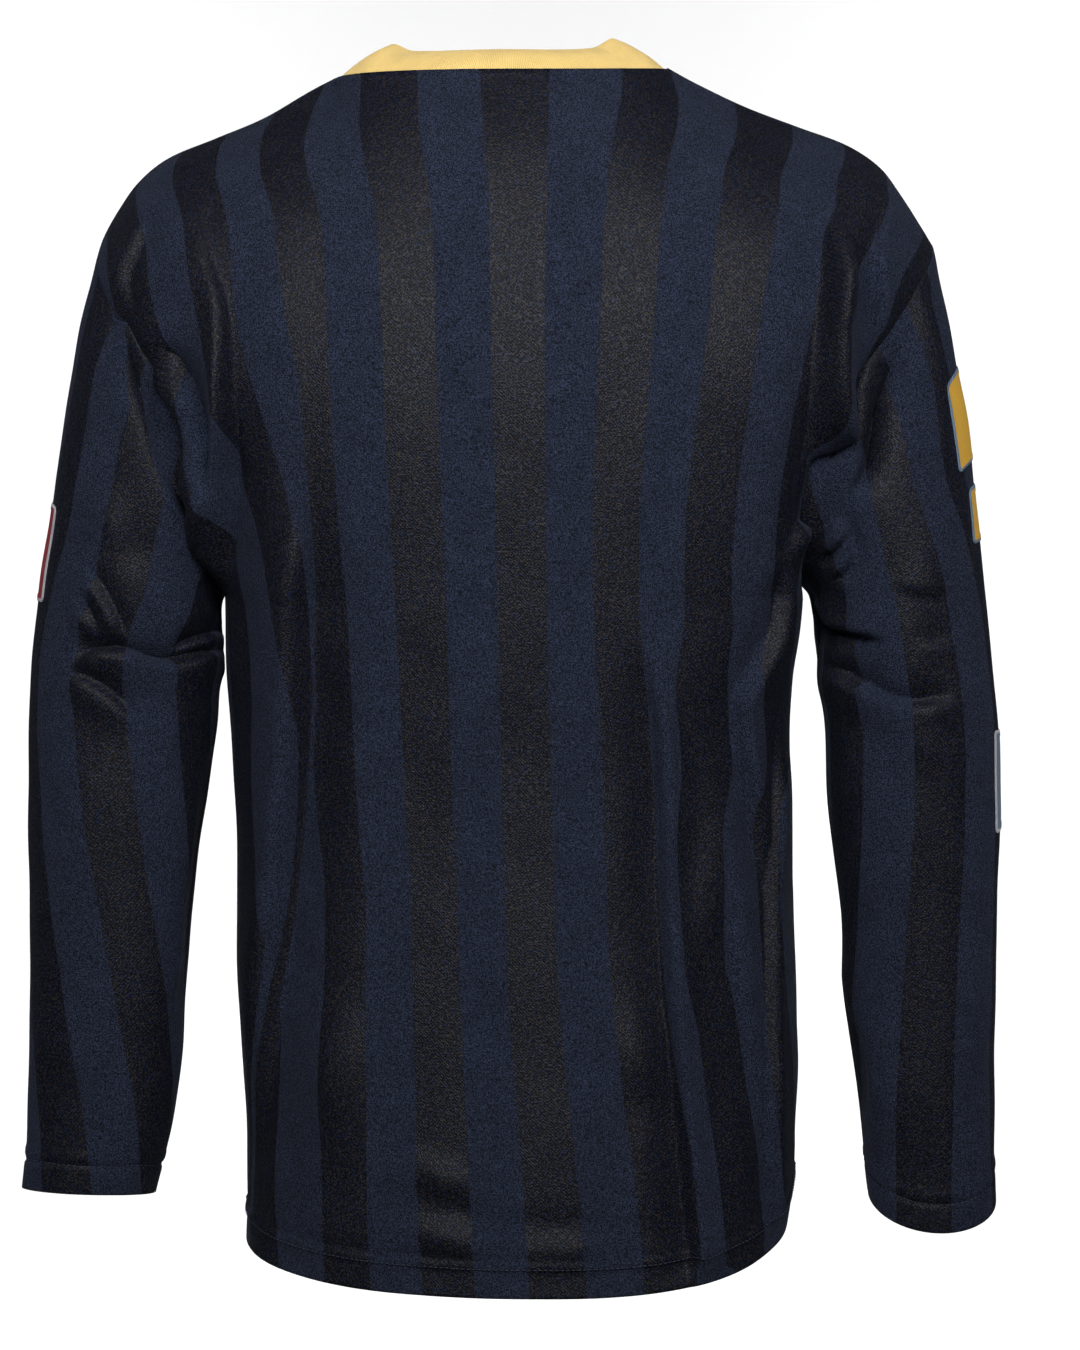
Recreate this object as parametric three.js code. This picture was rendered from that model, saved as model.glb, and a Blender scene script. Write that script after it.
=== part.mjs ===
// A long-sleeved sports jersey, hollow and filled out as it is when worn.
// Millimetres, +Z up, the wearer faces -Y and the wearer's left is +X.
// The origin lies between the two shoulder points of the neckline.
//
// Each panel is a grid of points on the cloth's outer face, made into a wall of even thickness.
// The back and front are rectangles of cloth: their columns run from the neck or shoulder to the
// hem, and their rows run from one armhole or side seam to the other. A sleeve is a tube of rings
// that starts at the armhole. The collar is a band that follows the neckline all round.
import * as THREE from 'three';

// ---- sizes -----------------------------------------------------------------------------------
const WALL = 1.5;
const COLLAR_WALL = 2.2;
const PATCH_WALL = 1;
const SEAM_GAP = 0.3;
const PATCH_LIFT = 0.5;

const NECK_SHARE = 0.28; // of a row's half width that the neckline takes
const ARMHOLE_SHARE = 0.45; // of a column's length that lies above the underarm
const NECK_COLUMNS = 6; // on each side of the centre
const SHOULDER_COLUMNS = 10;
const ARMHOLE_ROWS = 10;
const SIDE_ROWS = 12;
const SLEEVE_STEPS = 2; // rows of facets between two neighbouring sleeve rings
const COLLAR_STEPS = 3;

const STRIPED = 0x1e2430;
const GOLD = 0xf8d884;
const RED = 0xb3202c;
const AMBER = 0xf2c14e;
const SLATE = 0x7f8da0;

const CORNER_SPREAD = 0.95; // how widely the neckline's corners soften down the panel, up to 1
const ROW_DROP = 2.5; // exponent: the higher, the nearer its side a row falls to the side's height
const SETTLE_SHARE = 0.25; // of a sleeve's length over which the armhole's own shape dies away

const BACK = 1;
const FRONT = -1;
const LEFT = 1;
const RIGHT = -1;

// How far down a panel the top edge's shape is felt, and the exponent by which it dies away.
const TOP_REACH = { [BACK]: 0.26, [FRONT]: 0.32 };
const TOP_FADE = { [BACK]: 2, [FRONT]: 3 };

// Middle of the back and of the front, from the neckline to the hem. Down is the share of the
// length, and roundness is the exponent of the oval that carries a row round to its side.
const MIDDLE = [
  { down: 0.0, x: 4, backY: 62, backZ: -8, frontY: -96, frontZ: -118, roundness: 2.3 },
  { down: 0.08, x: 1, backY: 91, backZ: -62, frontY: -110, frontZ: -152, roundness: 2.4 },
  { down: 0.16, x: -1, backY: 106, backZ: -118, frontY: -120, frontZ: -190, roundness: 2.5 },
  { down: 0.28, x: -2, backY: 112, backZ: -208, frontY: -125, frontZ: -250, roundness: 2.6 },
  { down: 0.45, x: -4, backY: 105, backZ: -330, frontY: -121, frontZ: -335, roundness: 2.4 },
  { down: 0.6, x: -6, backY: 98, backZ: -440, frontY: -114, frontZ: -436, roundness: 2.2 },
  { down: 0.75, x: -9, backY: 106, backZ: -549, frontY: -116, frontZ: -540, roundness: 2.2 },
  { down: 0.9, x: -16, backY: 119, backZ: -658, frontY: -122, frontZ: -646, roundness: 2.2 },
  { down: 1.0, x: -21, backY: 126, backZ: -730, frontY: -126, frontZ: -716, roundness: 2.2 },
];

// Side seams, from the underarm to the hem.
const SIDE_SEAM = [
  { down: 0.45, leftX: 177, leftZ: -318, rightX: -175, rightZ: -311, y: 2 },
  { down: 0.55, leftX: 174, leftZ: -390, rightX: -169, rightZ: -386, y: 2 },
  { down: 0.65, leftX: 170, leftZ: -460, rightX: -168, rightZ: -457, y: 2 },
  { down: 0.78, leftX: 167, leftZ: -551, rightX: -172, rightZ: -546, y: 3 },
  { down: 0.9, leftX: 165, leftZ: -638, rightX: -175, rightZ: -624, y: 4 },
  { down: 1.0, leftX: 166, leftZ: -711, rightX: -173, rightZ: -690, y: 5 },
];

// Shoulder seams, from the neckline to the armhole.
const SHOULDER = [
  { along: 0.0, leftX: 108, leftZ: -4, rightX: -93, rightZ: 2, y: 15 },
  { along: 0.1, leftX: 124, leftZ: -12, rightX: -110, rightZ: -7, y: 13 },
  { along: 0.26, leftX: 153, leftZ: -28, rightX: -141, rightZ: -21, y: 9 },
  { along: 0.43, leftX: 183, leftZ: -40, rightX: -175, rightZ: -33, y: 6 },
  { along: 0.6, leftX: 213, leftZ: -52, rightX: -208, rightZ: -43, y: 3 },
  { along: 0.72, leftX: 231, leftZ: -66, rightX: -229, rightZ: -56, y: 1 },
  { along: 0.83, leftX: 244, leftZ: -84, rightX: -243, rightZ: -73, y: 0 },
  { along: 0.92, leftX: 252, leftZ: -99, rightX: -251, rightZ: -89, y: 0 },
  { along: 1.0, leftX: 257, leftZ: -114, rightX: -258, rightZ: -106, y: 0 },
];

// Armholes: the slanted oval from the shoulder's end to the underarm, which dips inwards low down.
const ARMHOLE = { backDepth: 62, frontDepth: 56, dip: 40 };

// Sleeve rings, from the armhole to the cuff: the outermost and innermost points, how far the
// ring reaches to the back and to the front of them, and how much lower its back lies.
const LEFT_SLEEVE = [
  { outerX: 257, outerZ: -114, innerX: 177, innerZ: -318, y: 1, back: 62, front: 56, drop: 0 },
  { outerX: 269, outerZ: -166, innerX: 181, innerZ: -321, y: 1, back: 64, front: 60, drop: 0 },
  { outerX: 280, outerZ: -218, innerX: 183, innerZ: -328, y: 1, back: 63, front: 61, drop: 0 },
  { outerX: 288, outerZ: -275, innerX: 183, innerZ: -340, y: 1, back: 60, front: 60, drop: 0 },
  { outerX: 295, outerZ: -336, innerX: 182, innerZ: -364, y: 2, back: 56, front: 56, drop: 0 },
  { outerX: 298, outerZ: -392, innerX: 185, innerZ: -397, y: 3, back: 53, front: 53, drop: 0 },
  { outerX: 299, outerZ: -446, innerX: 192, innerZ: -449, y: 4, back: 50, front: 51, drop: 0 },
  { outerX: 299, outerZ: -512, innerX: 199, innerZ: -512, y: 6, back: 46, front: 47, drop: 0 },
  { outerX: 300, outerZ: -580, innerX: 204, innerZ: -580, y: 8, back: 43, front: 43, drop: -1 },
  { outerX: 301, outerZ: -640, innerX: 211, innerZ: -640, y: 10, back: 39, front: 39, drop: -2 },
  { outerX: 303, outerZ: -685, innerX: 223, innerZ: -688, y: 12, back: 35, front: 35, drop: -3 },
];
const RIGHT_SLEEVE = [
  { outerX: -258, outerZ: -106, innerX: -175, innerZ: -311, y: 1, back: 62, front: 56, drop: 0 },
  { outerX: -270, outerZ: -160, innerX: -180, innerZ: -315, y: 1, back: 64, front: 60, drop: 0 },
  { outerX: -281, outerZ: -214, innerX: -184, innerZ: -321, y: 1, back: 63, front: 61, drop: 0 },
  { outerX: -289, outerZ: -272, innerX: -186, innerZ: -333, y: 1, back: 60, front: 60, drop: 0 },
  { outerX: -295, outerZ: -332, innerX: -189, innerZ: -357, y: 1, back: 56, front: 56, drop: 1 },
  { outerX: -299, outerZ: -392, innerX: -194, innerZ: -396, y: 1, back: 53, front: 53, drop: 2 },
  { outerX: -301, outerZ: -446, innerX: -196, innerZ: -449, y: 0, back: 50, front: 51, drop: 5 },
  { outerX: -301, outerZ: -512, innerX: -204, innerZ: -512, y: -1, back: 46, front: 47, drop: 8 },
  { outerX: -300, outerZ: -580, innerX: -207, innerZ: -580, y: -2, back: 43, front: 43, drop: 11 },
  { outerX: -300, outerZ: -645, innerX: -216, innerZ: -645, y: -3, back: 39, front: 39, drop: 14 },
  { outerX: -301, outerZ: -692, innerX: -221, innerZ: -691, y: -4, back: 36, front: 36, drop: 18 },
];

// Collar: how far its upper edge leans in over the neck, and how high it rises.
const COLLAR_LEAN = 0.74; // upper edge's distance from the neck's middle, as a share of the lower's
const COLLAR_RISE = [
  { round: 0.0, rise: 17 },
  { round: 0.26, rise: 17 },
  { round: 0.36, rise: 22 },
  { round: 0.46, rise: 17 },
  { round: 0.56, rise: 14 },
  { round: 0.75, rise: 17 },
  { round: 1.0, rise: 30 },
];
const COLLAR_FRONT_LEAN = 0.95; // the same towards the front, where the neckline falls to a V
const COLLAR_CENTRE = { x: 6, y: -14 };
const COLLAR_BULGE = 3;

// Largest folds: a line across the cloth, seen from behind or in front, with the height of its
// ridge, the depth of the trough beside it and the width of each. A trough lies on the wearer's
// left of its ridge where its depth is positive, and on the right where it is negative.
const BODY_FOLDS = [
  { face: BACK, line: [[118, -300], [119, -400], [132, -520], [140, -640]], width: 17, rise: 7, sink: 17 },
  { face: BACK, line: [[162, -170], [165, -240], [166, -300]], width: 16, rise: 8, sink: 10 },
  { face: BACK, line: [[-165, -170], [-163, -240], [-158, -300]], width: 16, rise: 8, sink: -10 },
  { face: BACK, line: [[-124, -360], [-118, -430], [-130, -520]], width: 16, rise: 6, sink: -12 },
  { face: BACK, line: [[-84, -420], [-92, -540], [-110, -690]], width: 18, rise: 6, sink: -9 },
  { face: FRONT, line: [[116, -320], [112, -420], [126, -540], [132, -650]], width: 18, rise: 6, sink: 13 },
  { face: FRONT, line: [[158, -180], [162, -240], [164, -300]], width: 16, rise: 7, sink: 9 },
  { face: FRONT, line: [[-160, -180], [-162, -240], [-160, -300]], width: 16, rise: 7, sink: -9 },
  { face: FRONT, line: [[-98, -380], [-104, -500], [-122, -660]], width: 18, rise: 6, sink: -11 },
];
const SLEEVE_FOLDS = [
  { face: BACK, line: [[182, -372], [215, -366], [246, -360], [276, -366]], width: 13, rise: 4, sink: -6 },
  { face: FRONT, line: [[184, -380], [220, -386], [262, -376]], width: 14, rise: 4, sink: -6 },
  { face: BACK, line: [[-190, -372], [-222, -392], [-262, -388]], width: 13, rise: 4, sink: -6 },
  { face: FRONT, line: [[-190, -372], [-226, -384], [-264, -372]], width: 14, rise: 4, sink: -6 },
];
const FOLD_TAPER = 45; // length over which a fold dies away at each end
const TROUGH_PLACE = 1.5; // a trough's distance from its ridge, in widths of the fold
const SEAM_CALM = 30; // folds die away over this distance from a seam
const CALM_ROWS = 3; // rows of facets over which a sleeve's folds grow below the armhole
const SIDE_BLEND = 30; // depth over which a sleeve's back folds give way to its front folds

// Pieces sewn on a sleeve: the share of its length from armhole to cuff where each starts and
// ends, and the share of its girth, from the underarm by way of the back.
const PATCHES = [
  { name: 'left_sleeve_patch', sleeve: LEFT, start: 0.28, end: 0.38, from: 0.455, to: 0.6, colour: RED },
  { name: 'right_sleeve_bar_1', sleeve: RIGHT, start: 0.135, end: 0.24, from: 0.47, to: 0.62, colour: AMBER },
  { name: 'right_sleeve_bar_2', sleeve: RIGHT, start: 0.265, end: 0.325, from: 0.47, to: 0.59, colour: AMBER },
  { name: 'right_sleeve_bar_3', sleeve: RIGHT, start: 0.52, end: 0.63, from: 0.47, to: 0.57, colour: SLATE },
];

// ---- curves ----------------------------------------------------------------------------------
const mix = (a, b, share) => a + (b - a) * share;

/** The column's value on a smooth curve through the table's rows, which rise in the key column. */
function smooth(rows, key, column, at) {
  const last = rows.length - 1;
  let i = 0;
  while (i < last - 1 && at > rows[i + 1][key]) i += 1;
  const slope = (j) => {
    const before = rows[Math.max(j - 1, 0)];
    const after = rows[Math.min(j + 1, last)];
    return (after[column] - before[column]) / (after[key] - before[key]);
  };
  const span = rows[i + 1][key] - rows[i][key];
  const s = (at - rows[i][key]) / span;
  return (
    rows[i][column] * (1 + 2 * s) * (1 - s) ** 2 +
    rows[i + 1][column] * s * s * (3 - 2 * s) +
    slope(i) * span * s * (1 - s) ** 2 -
    slope(i + 1) * span * s * s * (1 - s)
  );
}

const sideName = (side) => (side === LEFT ? 'left' : 'right');

/** A point of the armhole. The angle is 0 at the shoulder and half a turn at the underarm. */
function armholePoint(side, angle) {
  const top = SHOULDER.at(-1);
  const bottom = SIDE_SEAM[0];
  const topX = top[`${sideName(side)}X`];
  const topZ = top[`${sideName(side)}Z`];
  const bottomX = bottom[`${sideName(side)}X`];
  const bottomZ = bottom[`${sideName(side)}Z`];
  const long = new THREE.Vector3((topX - bottomX) / 2, (top.y - bottom.y) / 2, (topZ - bottomZ) / 2);
  const middle = new THREE.Vector3((topX + bottomX) / 2, (top.y + bottom.y) / 2, (topZ + bottomZ) / 2);
  const inwards = new THREE.Vector3(-long.z * side, 0, long.x * side).normalize();
  const depth = angle > 0 ? ARMHOLE.backDepth : ARMHOLE.frontDepth;
  const dip = ARMHOLE.dip * Math.sin(angle) ** 2 * (1 - Math.cos(angle)) / 2;
  return middle
    .addScaledVector(long, Math.cos(angle))
    .addScaledVector(inwards, dip)
    .add(new THREE.Vector3(0, depth * Math.sin(angle), 0));
}

/** A point of the panel's armhole edge or, further down, of its side seam. */
function panelEdge(face, side, down) {
  if (down <= ARMHOLE_SHARE) return armholePoint(side, (face * Math.PI * down) / ARMHOLE_SHARE);
  const at = (column) => smooth(SIDE_SEAM, 'down', column, down);
  return new THREE.Vector3(at(`${sideName(side)}X`), at('y'), at(`${sideName(side)}Z`));
}

/** A point of the panel's top edge: the shoulder seam or, nearer the middle, the neckline. */
function panelTop(face, side, across) {
  const along = Math.max(0, (across - NECK_SHARE) / (1 - NECK_SHARE));
  const at = (column) => smooth(SHOULDER, 'along', column, along);
  const shoulder = new THREE.Vector3(at(`${sideName(side)}X`), at('y'), at(`${sideName(side)}Z`));
  if (across >= NECK_SHARE) return shoulder;
  const share = across / NECK_SHARE;
  const middle = MIDDLE[0];
  if (face === BACK) {
    const turn = (share * Math.PI) / 2;
    return new THREE.Vector3(
      mix(middle.x, shoulder.x, Math.sin(turn)),
      mix(shoulder.y, middle.backY, Math.cos(turn)),
      mix(shoulder.z, middle.backZ, Math.cos(turn)),
    );
  }
  return new THREE.Vector3(
    mix(middle.x, shoulder.x, share),
    mix(shoulder.y, middle.frontY, Math.sqrt(1 - share)),
    mix(shoulder.z, middle.frontZ, 1 - share),
  );
}

/** A row's point on the oval between the panel's middle and its edge. */
function onRow(face, side, across, down) {
  const faceName = face === BACK ? 'back' : 'front';
  const at = (column) => smooth(MIDDLE, 'down', column, down);
  const edge = panelEdge(face, side, down);
  const reach = Math.sin((across * Math.PI) / 2);
  const roundness = at('roundness');
  const bulge = Math.max(0, 1 - reach ** roundness) ** (1 / roundness);
  return new THREE.Vector3(
    mix(at('x'), edge.x, reach),
    mix(edge.y, at(`${faceName}Y`), bulge),
    mix(at(`${faceName}Z`), edge.z, across ** ROW_DROP),
  );
}

/** How far the top edge lies from where the first row's oval would put it. */
const topChange = (face, side, across) => panelTop(face, side, across).sub(onRow(face, side, across, 0));

/** The panel before its folds. Across runs from -1 at the wearer's right to 1 at the left. The top
    edge's shape dies away down the panel, and its corners at the neck soften as it does. */
function panelPoint(face, across, down) {
  const side = across < 0 ? RIGHT : LEFT;
  const width = Math.abs(across);
  const near = Math.max(0, 1 - down / TOP_REACH[face]);
  const spread = CORNER_SPREAD * (1 - near) * width * (1 - width);
  const change = topChange(face, side, width)
    .multiplyScalar(2)
    .add(topChange(face, side, width - spread))
    .add(topChange(face, side, width + spread))
    .divideScalar(4);
  const fast = near ** TOP_FADE[face];
  const point = onRow(face, side, width, down);
  return point.add(new THREE.Vector3(change.x * fast, change.y * fast, change.z * near));
}

/** A sleeve before its folds. Round runs from -1 to 1, from the underarm by way of the front, the
    outside (0) and the back; down runs from 0 at the armhole to 1 at the cuff. */
function sleevePoint(side, round, down) {
  const rings = side === LEFT ? LEFT_SLEEVE : RIGHT_SLEEVE;
  const rows = rings.map((ring, i) => ({ ...ring, down: i / (rings.length - 1) }));
  const at = (column) => smooth(rows, 'down', column, down);
  const angle = round * Math.PI;
  const outwards = (1 + Math.cos(angle)) / 2;
  const depth = angle > 0 ? at('back') : at('front');
  const ring = new THREE.Vector3(
    mix(at('innerX'), at('outerX'), outwards),
    at('y') + depth * Math.sin(angle),
    mix(at('innerZ'), at('outerZ'), outwards) - at('drop') * Math.sin(angle),
  );
  const settle = Math.max(0, 1 - down / SETTLE_SHARE) ** 2;
  if (settle === 0) return ring;
  const start = rings[0];
  const startAngle = armholePoint(side, angle);
  const straight = new THREE.Vector3(
    mix(start.innerX, start.outerX, outwards),
    start.y + (angle > 0 ? start.back : start.front) * Math.sin(angle),
    mix(start.innerZ, start.outerZ, outwards),
  );
  return ring.addScaledVector(startAngle.sub(straight), settle);
}

// ---- grids -----------------------------------------------------------------------------------
/** Points in rows of equal length; a closed grid's last column joins its first. */
function makeGrid(columns, rows, closed, place) {
  const points = rows.flatMap((down) => columns.map((across) => place(across, down)));
  return { width: columns.length, height: rows.length, closed, points };
}

/** Normals of a grid, which point out of the cloth when rows run down and columns run rightwards
    as seen from outside. */
function gridNormals(grid) {
  const normals = grid.points.map(() => new THREE.Vector3());
  for (const [a, b, c] of gridTriangles(grid)) {
    const [p, q, r] = [grid.points[a], grid.points[b], grid.points[c]];
    const normal = q.clone().sub(p).cross(r.clone().sub(p));
    [a, b, c].forEach((corner) => normals[corner].add(normal));
  }
  return normals;
}

function gridTriangles({ width, height, closed }) {
  const triangles = [];
  for (let row = 0; row < height - 1; row += 1) {
    for (let column = 0; column < (closed ? width : width - 1); column += 1) {
      const next = (column + 1) % width;
      const [a, b] = [row * width + column, row * width + next];
      const [c, d] = [a + width, b + width];
      triangles.push([a, b, c], [b, d, c]);
    }
  }
  return triangles;
}

// ---- folds -----------------------------------------------------------------------------------
const fade = (share) => {
  const s = Math.min(1, Math.max(0, share));
  return s * s * (3 - 2 * s);
};

/** Height that a fold gives to a point: a rounded ridge with a rounded trough beside it. */
function foldHeight(fold, x, z) {
  let nearest = { distance: Infinity };
  let travelled = 0;
  for (let i = 0; i < fold.line.length - 1; i += 1) {
    const [ax, az] = fold.line[i];
    const [bx, bz] = fold.line[i + 1];
    const length = Math.hypot(bx - ax, bz - az);
    const [ux, uz] = [(bx - ax) / length, (bz - az) / length];
    const along = (x - ax) * ux + (z - az) * uz;
    const clamped = Math.min(length, Math.max(0, along));
    const [dx, dz] = [x - ax - ux * clamped, z - az - uz * clamped];
    const distance = Math.hypot(dx, dz);
    if (distance < nearest.distance) {
      const aside = -(uz * dx - ux * dz);
      nearest = { distance, aside: aside < 0 ? -distance : distance, at: travelled + along };
    }
    travelled += length;
  }
  const fromEnd = Math.min(nearest.at, travelled - nearest.at);
  const taper = fade(fromEnd / FOLD_TAPER + 0.5);
  const side = Math.sign(fold.sink) * nearest.aside;
  const ridge = Math.exp(-((nearest.aside / fold.width) ** 2));
  const trough = Math.exp(-((side / fold.width - TROUGH_PLACE) ** 2));
  return taper * (fold.rise * ridge - Math.abs(fold.sink) * trough);
}

/** Moves a grid's points along its normals by the folds. Calm is 0 at a seam and 1 away from it. */
function addFolds(grid, folds, faceAt, calmAt) {
  const normals = gridNormals(grid);
  grid.points.forEach((point, i) => {
    const { x, z } = point;
    const row = Math.floor(i / grid.width);
    const column = i % grid.width;
    const height = folds.reduce((sum, fold) => sum + faceAt(point, fold) * foldHeight(fold, x, z), 0);
    point.addScaledVector(normals[i].normalize(), height * calmAt(row, column));
  });
  return grid;
}

// ---- panels ----------------------------------------------------------------------------------
const steps = (from, to, count) => Array.from({ length: count + 1 }, (_, i) => mix(from, to, i / count));

const halfColumns = [
  ...steps(0, NECK_SHARE, NECK_COLUMNS),
  ...steps(NECK_SHARE, 1, SHOULDER_COLUMNS).slice(1),
];
const acrossLeftwards = [...halfColumns.slice(1).map((a) => -a).reverse(), ...halfColumns];
const bodyRows = [
  ...steps(0, ARMHOLE_SHARE, ARMHOLE_ROWS),
  ...steps(ARMHOLE_SHARE, 1, SIDE_ROWS).slice(1),
];

function bodyPanel(face) {
  const columns = face === BACK ? acrossLeftwards : [...acrossLeftwards].reverse();
  const grid = makeGrid(columns, bodyRows, false, (across, down) => panelPoint(face, across, down));
  const calm = (row, column) => {
    const fromSide = grid.points[row * grid.width + (column < grid.width / 2 ? 0 : grid.width - 1)];
    const fromTop = grid.points[column];
    const point = grid.points[row * grid.width + column];
    return fade(point.distanceTo(fromSide) / SEAM_CALM) * fade(point.distanceTo(fromTop) / SEAM_CALM);
  };
  return addFolds(grid, BODY_FOLDS, (point, fold) => (fold.face === face ? 1 : 0), calm);
}

/** Round positions of the sleeve's columns, matched to the rows of the panels at the armhole. */
function sleeveColumns(side) {
  const rising = steps(-1, 1, 2 * ARMHOLE_ROWS).slice(0, -1);
  return side === RIGHT ? rising : rising.map((round) => -round);
}

function sleeve(side) {
  const rings = LEFT_SLEEVE.length - 1;
  const rows = steps(0, 1, rings * SLEEVE_STEPS);
  const columns = sleeveColumns(side);
  const grid = makeGrid(columns, rows, true, (round, down) => sleevePoint(side, round, down));
  const faceAt = (point, fold) => {
    if (Math.sign(fold.line[0][0]) !== side) return 0;
    return fade((point.y * fold.face) / SIDE_BLEND + 0.5);
  };
  return addFolds(grid, SLEEVE_FOLDS, faceAt, (row) => fade(row / CALM_ROWS));
}

/** The neckline, once round: across the back to the wearer's left and back along the front. */
function neckline() {
  const across = acrossLeftwards.filter((a) => Math.abs(a) <= NECK_SHARE + 1e-9);
  const back = across.map((a) => ({ face: BACK, across: a }));
  const front = across.slice(1, -1).reverse().map((a) => ({ face: FRONT, across: a }));
  return [...back, ...front];
}

function collar() {
  const stations = neckline();
  const place = (station, up) => {
    const { face, across } = stations[station];
    const side = across < 0 ? RIGHT : LEFT;
    const share = Math.abs(across) / NECK_SHARE;
    const foot = panelTop(face, side, Math.abs(across));
    const round = face === BACK ? share / 2 : 1 - share / 2;
    const rise = smooth(COLLAR_RISE, 'round', 'rise', round);
    const lean = mix(1, COLLAR_LEAN, up);
    return new THREE.Vector3(
      mix(COLLAR_CENTRE.x, foot.x, lean),
      mix(COLLAR_CENTRE.y, foot.y, face === BACK ? lean : mix(1, COLLAR_FRONT_LEAN, up)),
      foot.z + rise * up + COLLAR_BULGE * Math.sin(up * Math.PI),
    );
  };
  const rows = steps(1, 0, COLLAR_STEPS);
  return makeGrid(stations.map((_, i) => i), rows, true, place);
}

const LEAST_STEP = 0.02; // of a facet: a patch has no narrower facets than this

/** A piece of the sleeve's own facets, cut between shares of its length and girth. */
function patchGrid(host, patch) {
  const spots = (from, to, count) => {
    const [a, b] = [from * count, to * count];
    const between = Array.from({ length: count + 1 }, (_, i) => i).filter((i) => i > a + LEAST_STEP && i < b - LEAST_STEP);
    return [a, ...between, b];
  };
  const at = (column, row) => {
    const [c, r] = [Math.floor(column), Math.min(Math.floor(row), host.height - 2)];
    const corner = (i, j) => host.points[(r + j) * host.width + ((c + i) % host.width)];
    const [s, t] = [column - c, row - r];
    const [p, q, o] = s + t <= 1 ? [corner(1, 0), corner(0, 1), corner(0, 0)] : [corner(0, 1), corner(1, 0), corner(1, 1)];
    const [u, v] = s + t <= 1 ? [s, t] : [1 - s, 1 - t];
    return o.clone().addScaledVector(p.clone().sub(o), u).addScaledVector(q.clone().sub(o), v);
  };
  const columns = spots(patch.from, patch.to, host.width);
  const rows = spots(patch.start, patch.end, host.height - 1);
  return makeGrid(columns, rows, false, at);
}

// ---- walls -----------------------------------------------------------------------------------
const SAME_PLACE = 0.02; // points nearer than this are one point of a seam
const UNDERARM_PULL = 3; // how strongly an underarm seam turns away from the armhole's middle
const LEAST_FACING = 0.01;

const placeKey = (point) => point.toArray().map((value) => Math.round(value / SAME_PLACE)).join();

/** Gives the pieces that meet at a seam one common normal at each of its points. */
function shareNormals(pieces) {
  const sums = new Map();
  const sumAt = (point) => sums.get(placeKey(point)) ?? new THREE.Vector3();
  for (const piece of pieces) {
    piece.normals = gridNormals(piece.grid).map((normal) => normal.normalize());
    piece.grid.points.forEach((point, i) => {
      sums.set(placeKey(point), sumAt(point).add(piece.normals[i]));
    });
  }
  pieces.filter((piece) => piece.armhole).forEach((piece) => spreadArmhole(piece, sumAt));
  for (const piece of pieces) {
    piece.normals = piece.grid.points.map((point) => sumAt(point).clone().normalize());
  }
}

/** Under the arm the body and the sleeve face each other, so their normals cancel out. There the
    seam takes the direction away from the armhole's middle that is square to both of them. */
function spreadArmhole({ grid, normals }, sumAt) {
  const count = grid.width;
  const ring = grid.points.slice(0, count);
  const middle = ring.reduce((sum, point) => sum.add(point), new THREE.Vector3()).divideScalar(count);
  ring.forEach((point, i) => {
    const sum = sumAt(point);
    const body = sum.clone().sub(normals[i]).normalize();
    const across = body.sub(normals[i]).divideScalar(2);
    const facing = across.length();
    const seam = ring[(i + 1) % count].clone().sub(ring[(i + count - 1) % count]).normalize();
    const away = point.clone().sub(middle).normalize();
    away.addScaledVector(seam, -away.dot(seam));
    away.addScaledVector(across, -away.dot(across) / Math.max(facing, LEAST_FACING));
    sum.addScaledVector(away, UNDERARM_PULL * facing);
  });
}

/** Draws a panel's seam edges back by half the gap, square to the seam and along the cloth. The
    underarm is a corner of the panel: it leaves both the sleeve and the other panel. */
function drawBack(grid, normals, seams) {
  const { width, height, closed, points } = grid;
  const moved = points.map((point) => point.clone());
  const pull = (at, before, after, inside, normalAt = at) => {
    const seam = points[after].clone().sub(points[before]);
    const away = normals[normalAt].clone().cross(seam).setLength(SEAM_GAP / 2);
    const inwards = points[inside].clone().sub(points[at]).dot(away) > 0 ? 1 : -1;
    moved[at].addScaledVector(away, inwards);
  };
  const drawColumn = (column, inside) => {
    for (let row = 0; row < height; row += 1) {
      const at = row * width + column;
      const before = row === 0 ? at : at - width;
      const after = row === height - 1 ? at : at + width;
      const within = row * width + inside;
      if (row === ARMHOLE_ROWS) {
        pull(at, before, at, within);
        pull(at, at, after, within, after);
      } else {
        pull(at, before, after, within);
      }
    }
  };
  const drawRow = (row, inside) => {
    for (let column = 0; column < width; column += 1) {
      const before = closed ? (column + width - 1) % width : Math.max(column - 1, 0);
      const after = closed ? (column + 1) % width : Math.min(column + 1, width - 1);
      pull(row * width + column, row * width + before, row * width + after, inside * width + column);
    }
  };
  if (seams.sides) {
    drawColumn(0, 2);
    drawColumn(width - 1, width - 3);
  }
  if (seams.top) drawRow(0, 2);
  if (seams.bottom) drawRow(height - 1, height - 3);
  return { ...grid, points: moved };
}

/** A closed wall: the grid as its outer face, the same grid moved in, and strips at the edges. */
function wallGeometry(grid, normals, lift, wall) {
  const { width, height, closed } = grid;
  const outer = grid.points.map((point, i) => point.clone().addScaledVector(normals[i], lift));
  const inner = outer.map((point, i) => point.clone().addScaledVector(normals[i], -wall));
  const count = outer.length;
  const faces = gridTriangles(grid);
  const index = [...faces.flat(), ...faces.flatMap(([a, b, c]) => [a + count, c + count, b + count])];
  const strip = (a, b) => index.push(a, b, a + count, b, b + count, a + count);
  for (let column = 0; column < (closed ? width : width - 1); column += 1) {
    const next = (column + 1) % width;
    strip(next, column);
    strip((height - 1) * width + column, (height - 1) * width + next);
  }
  for (let row = 0; row < height - 1 && !closed; row += 1) {
    strip(row * width, (row + 1) * width);
    strip((row + 2) * width - 1, (row + 1) * width - 1);
  }
  const geometry = new THREE.BufferGeometry();
  const positions = [...outer, ...inner].flatMap((point) => point.toArray());
  geometry.setAttribute('position', new THREE.Float32BufferAttribute(positions, 3));
  geometry.setIndex(index);
  geometry.computeVertexNormals();
  return geometry;
}

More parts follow.
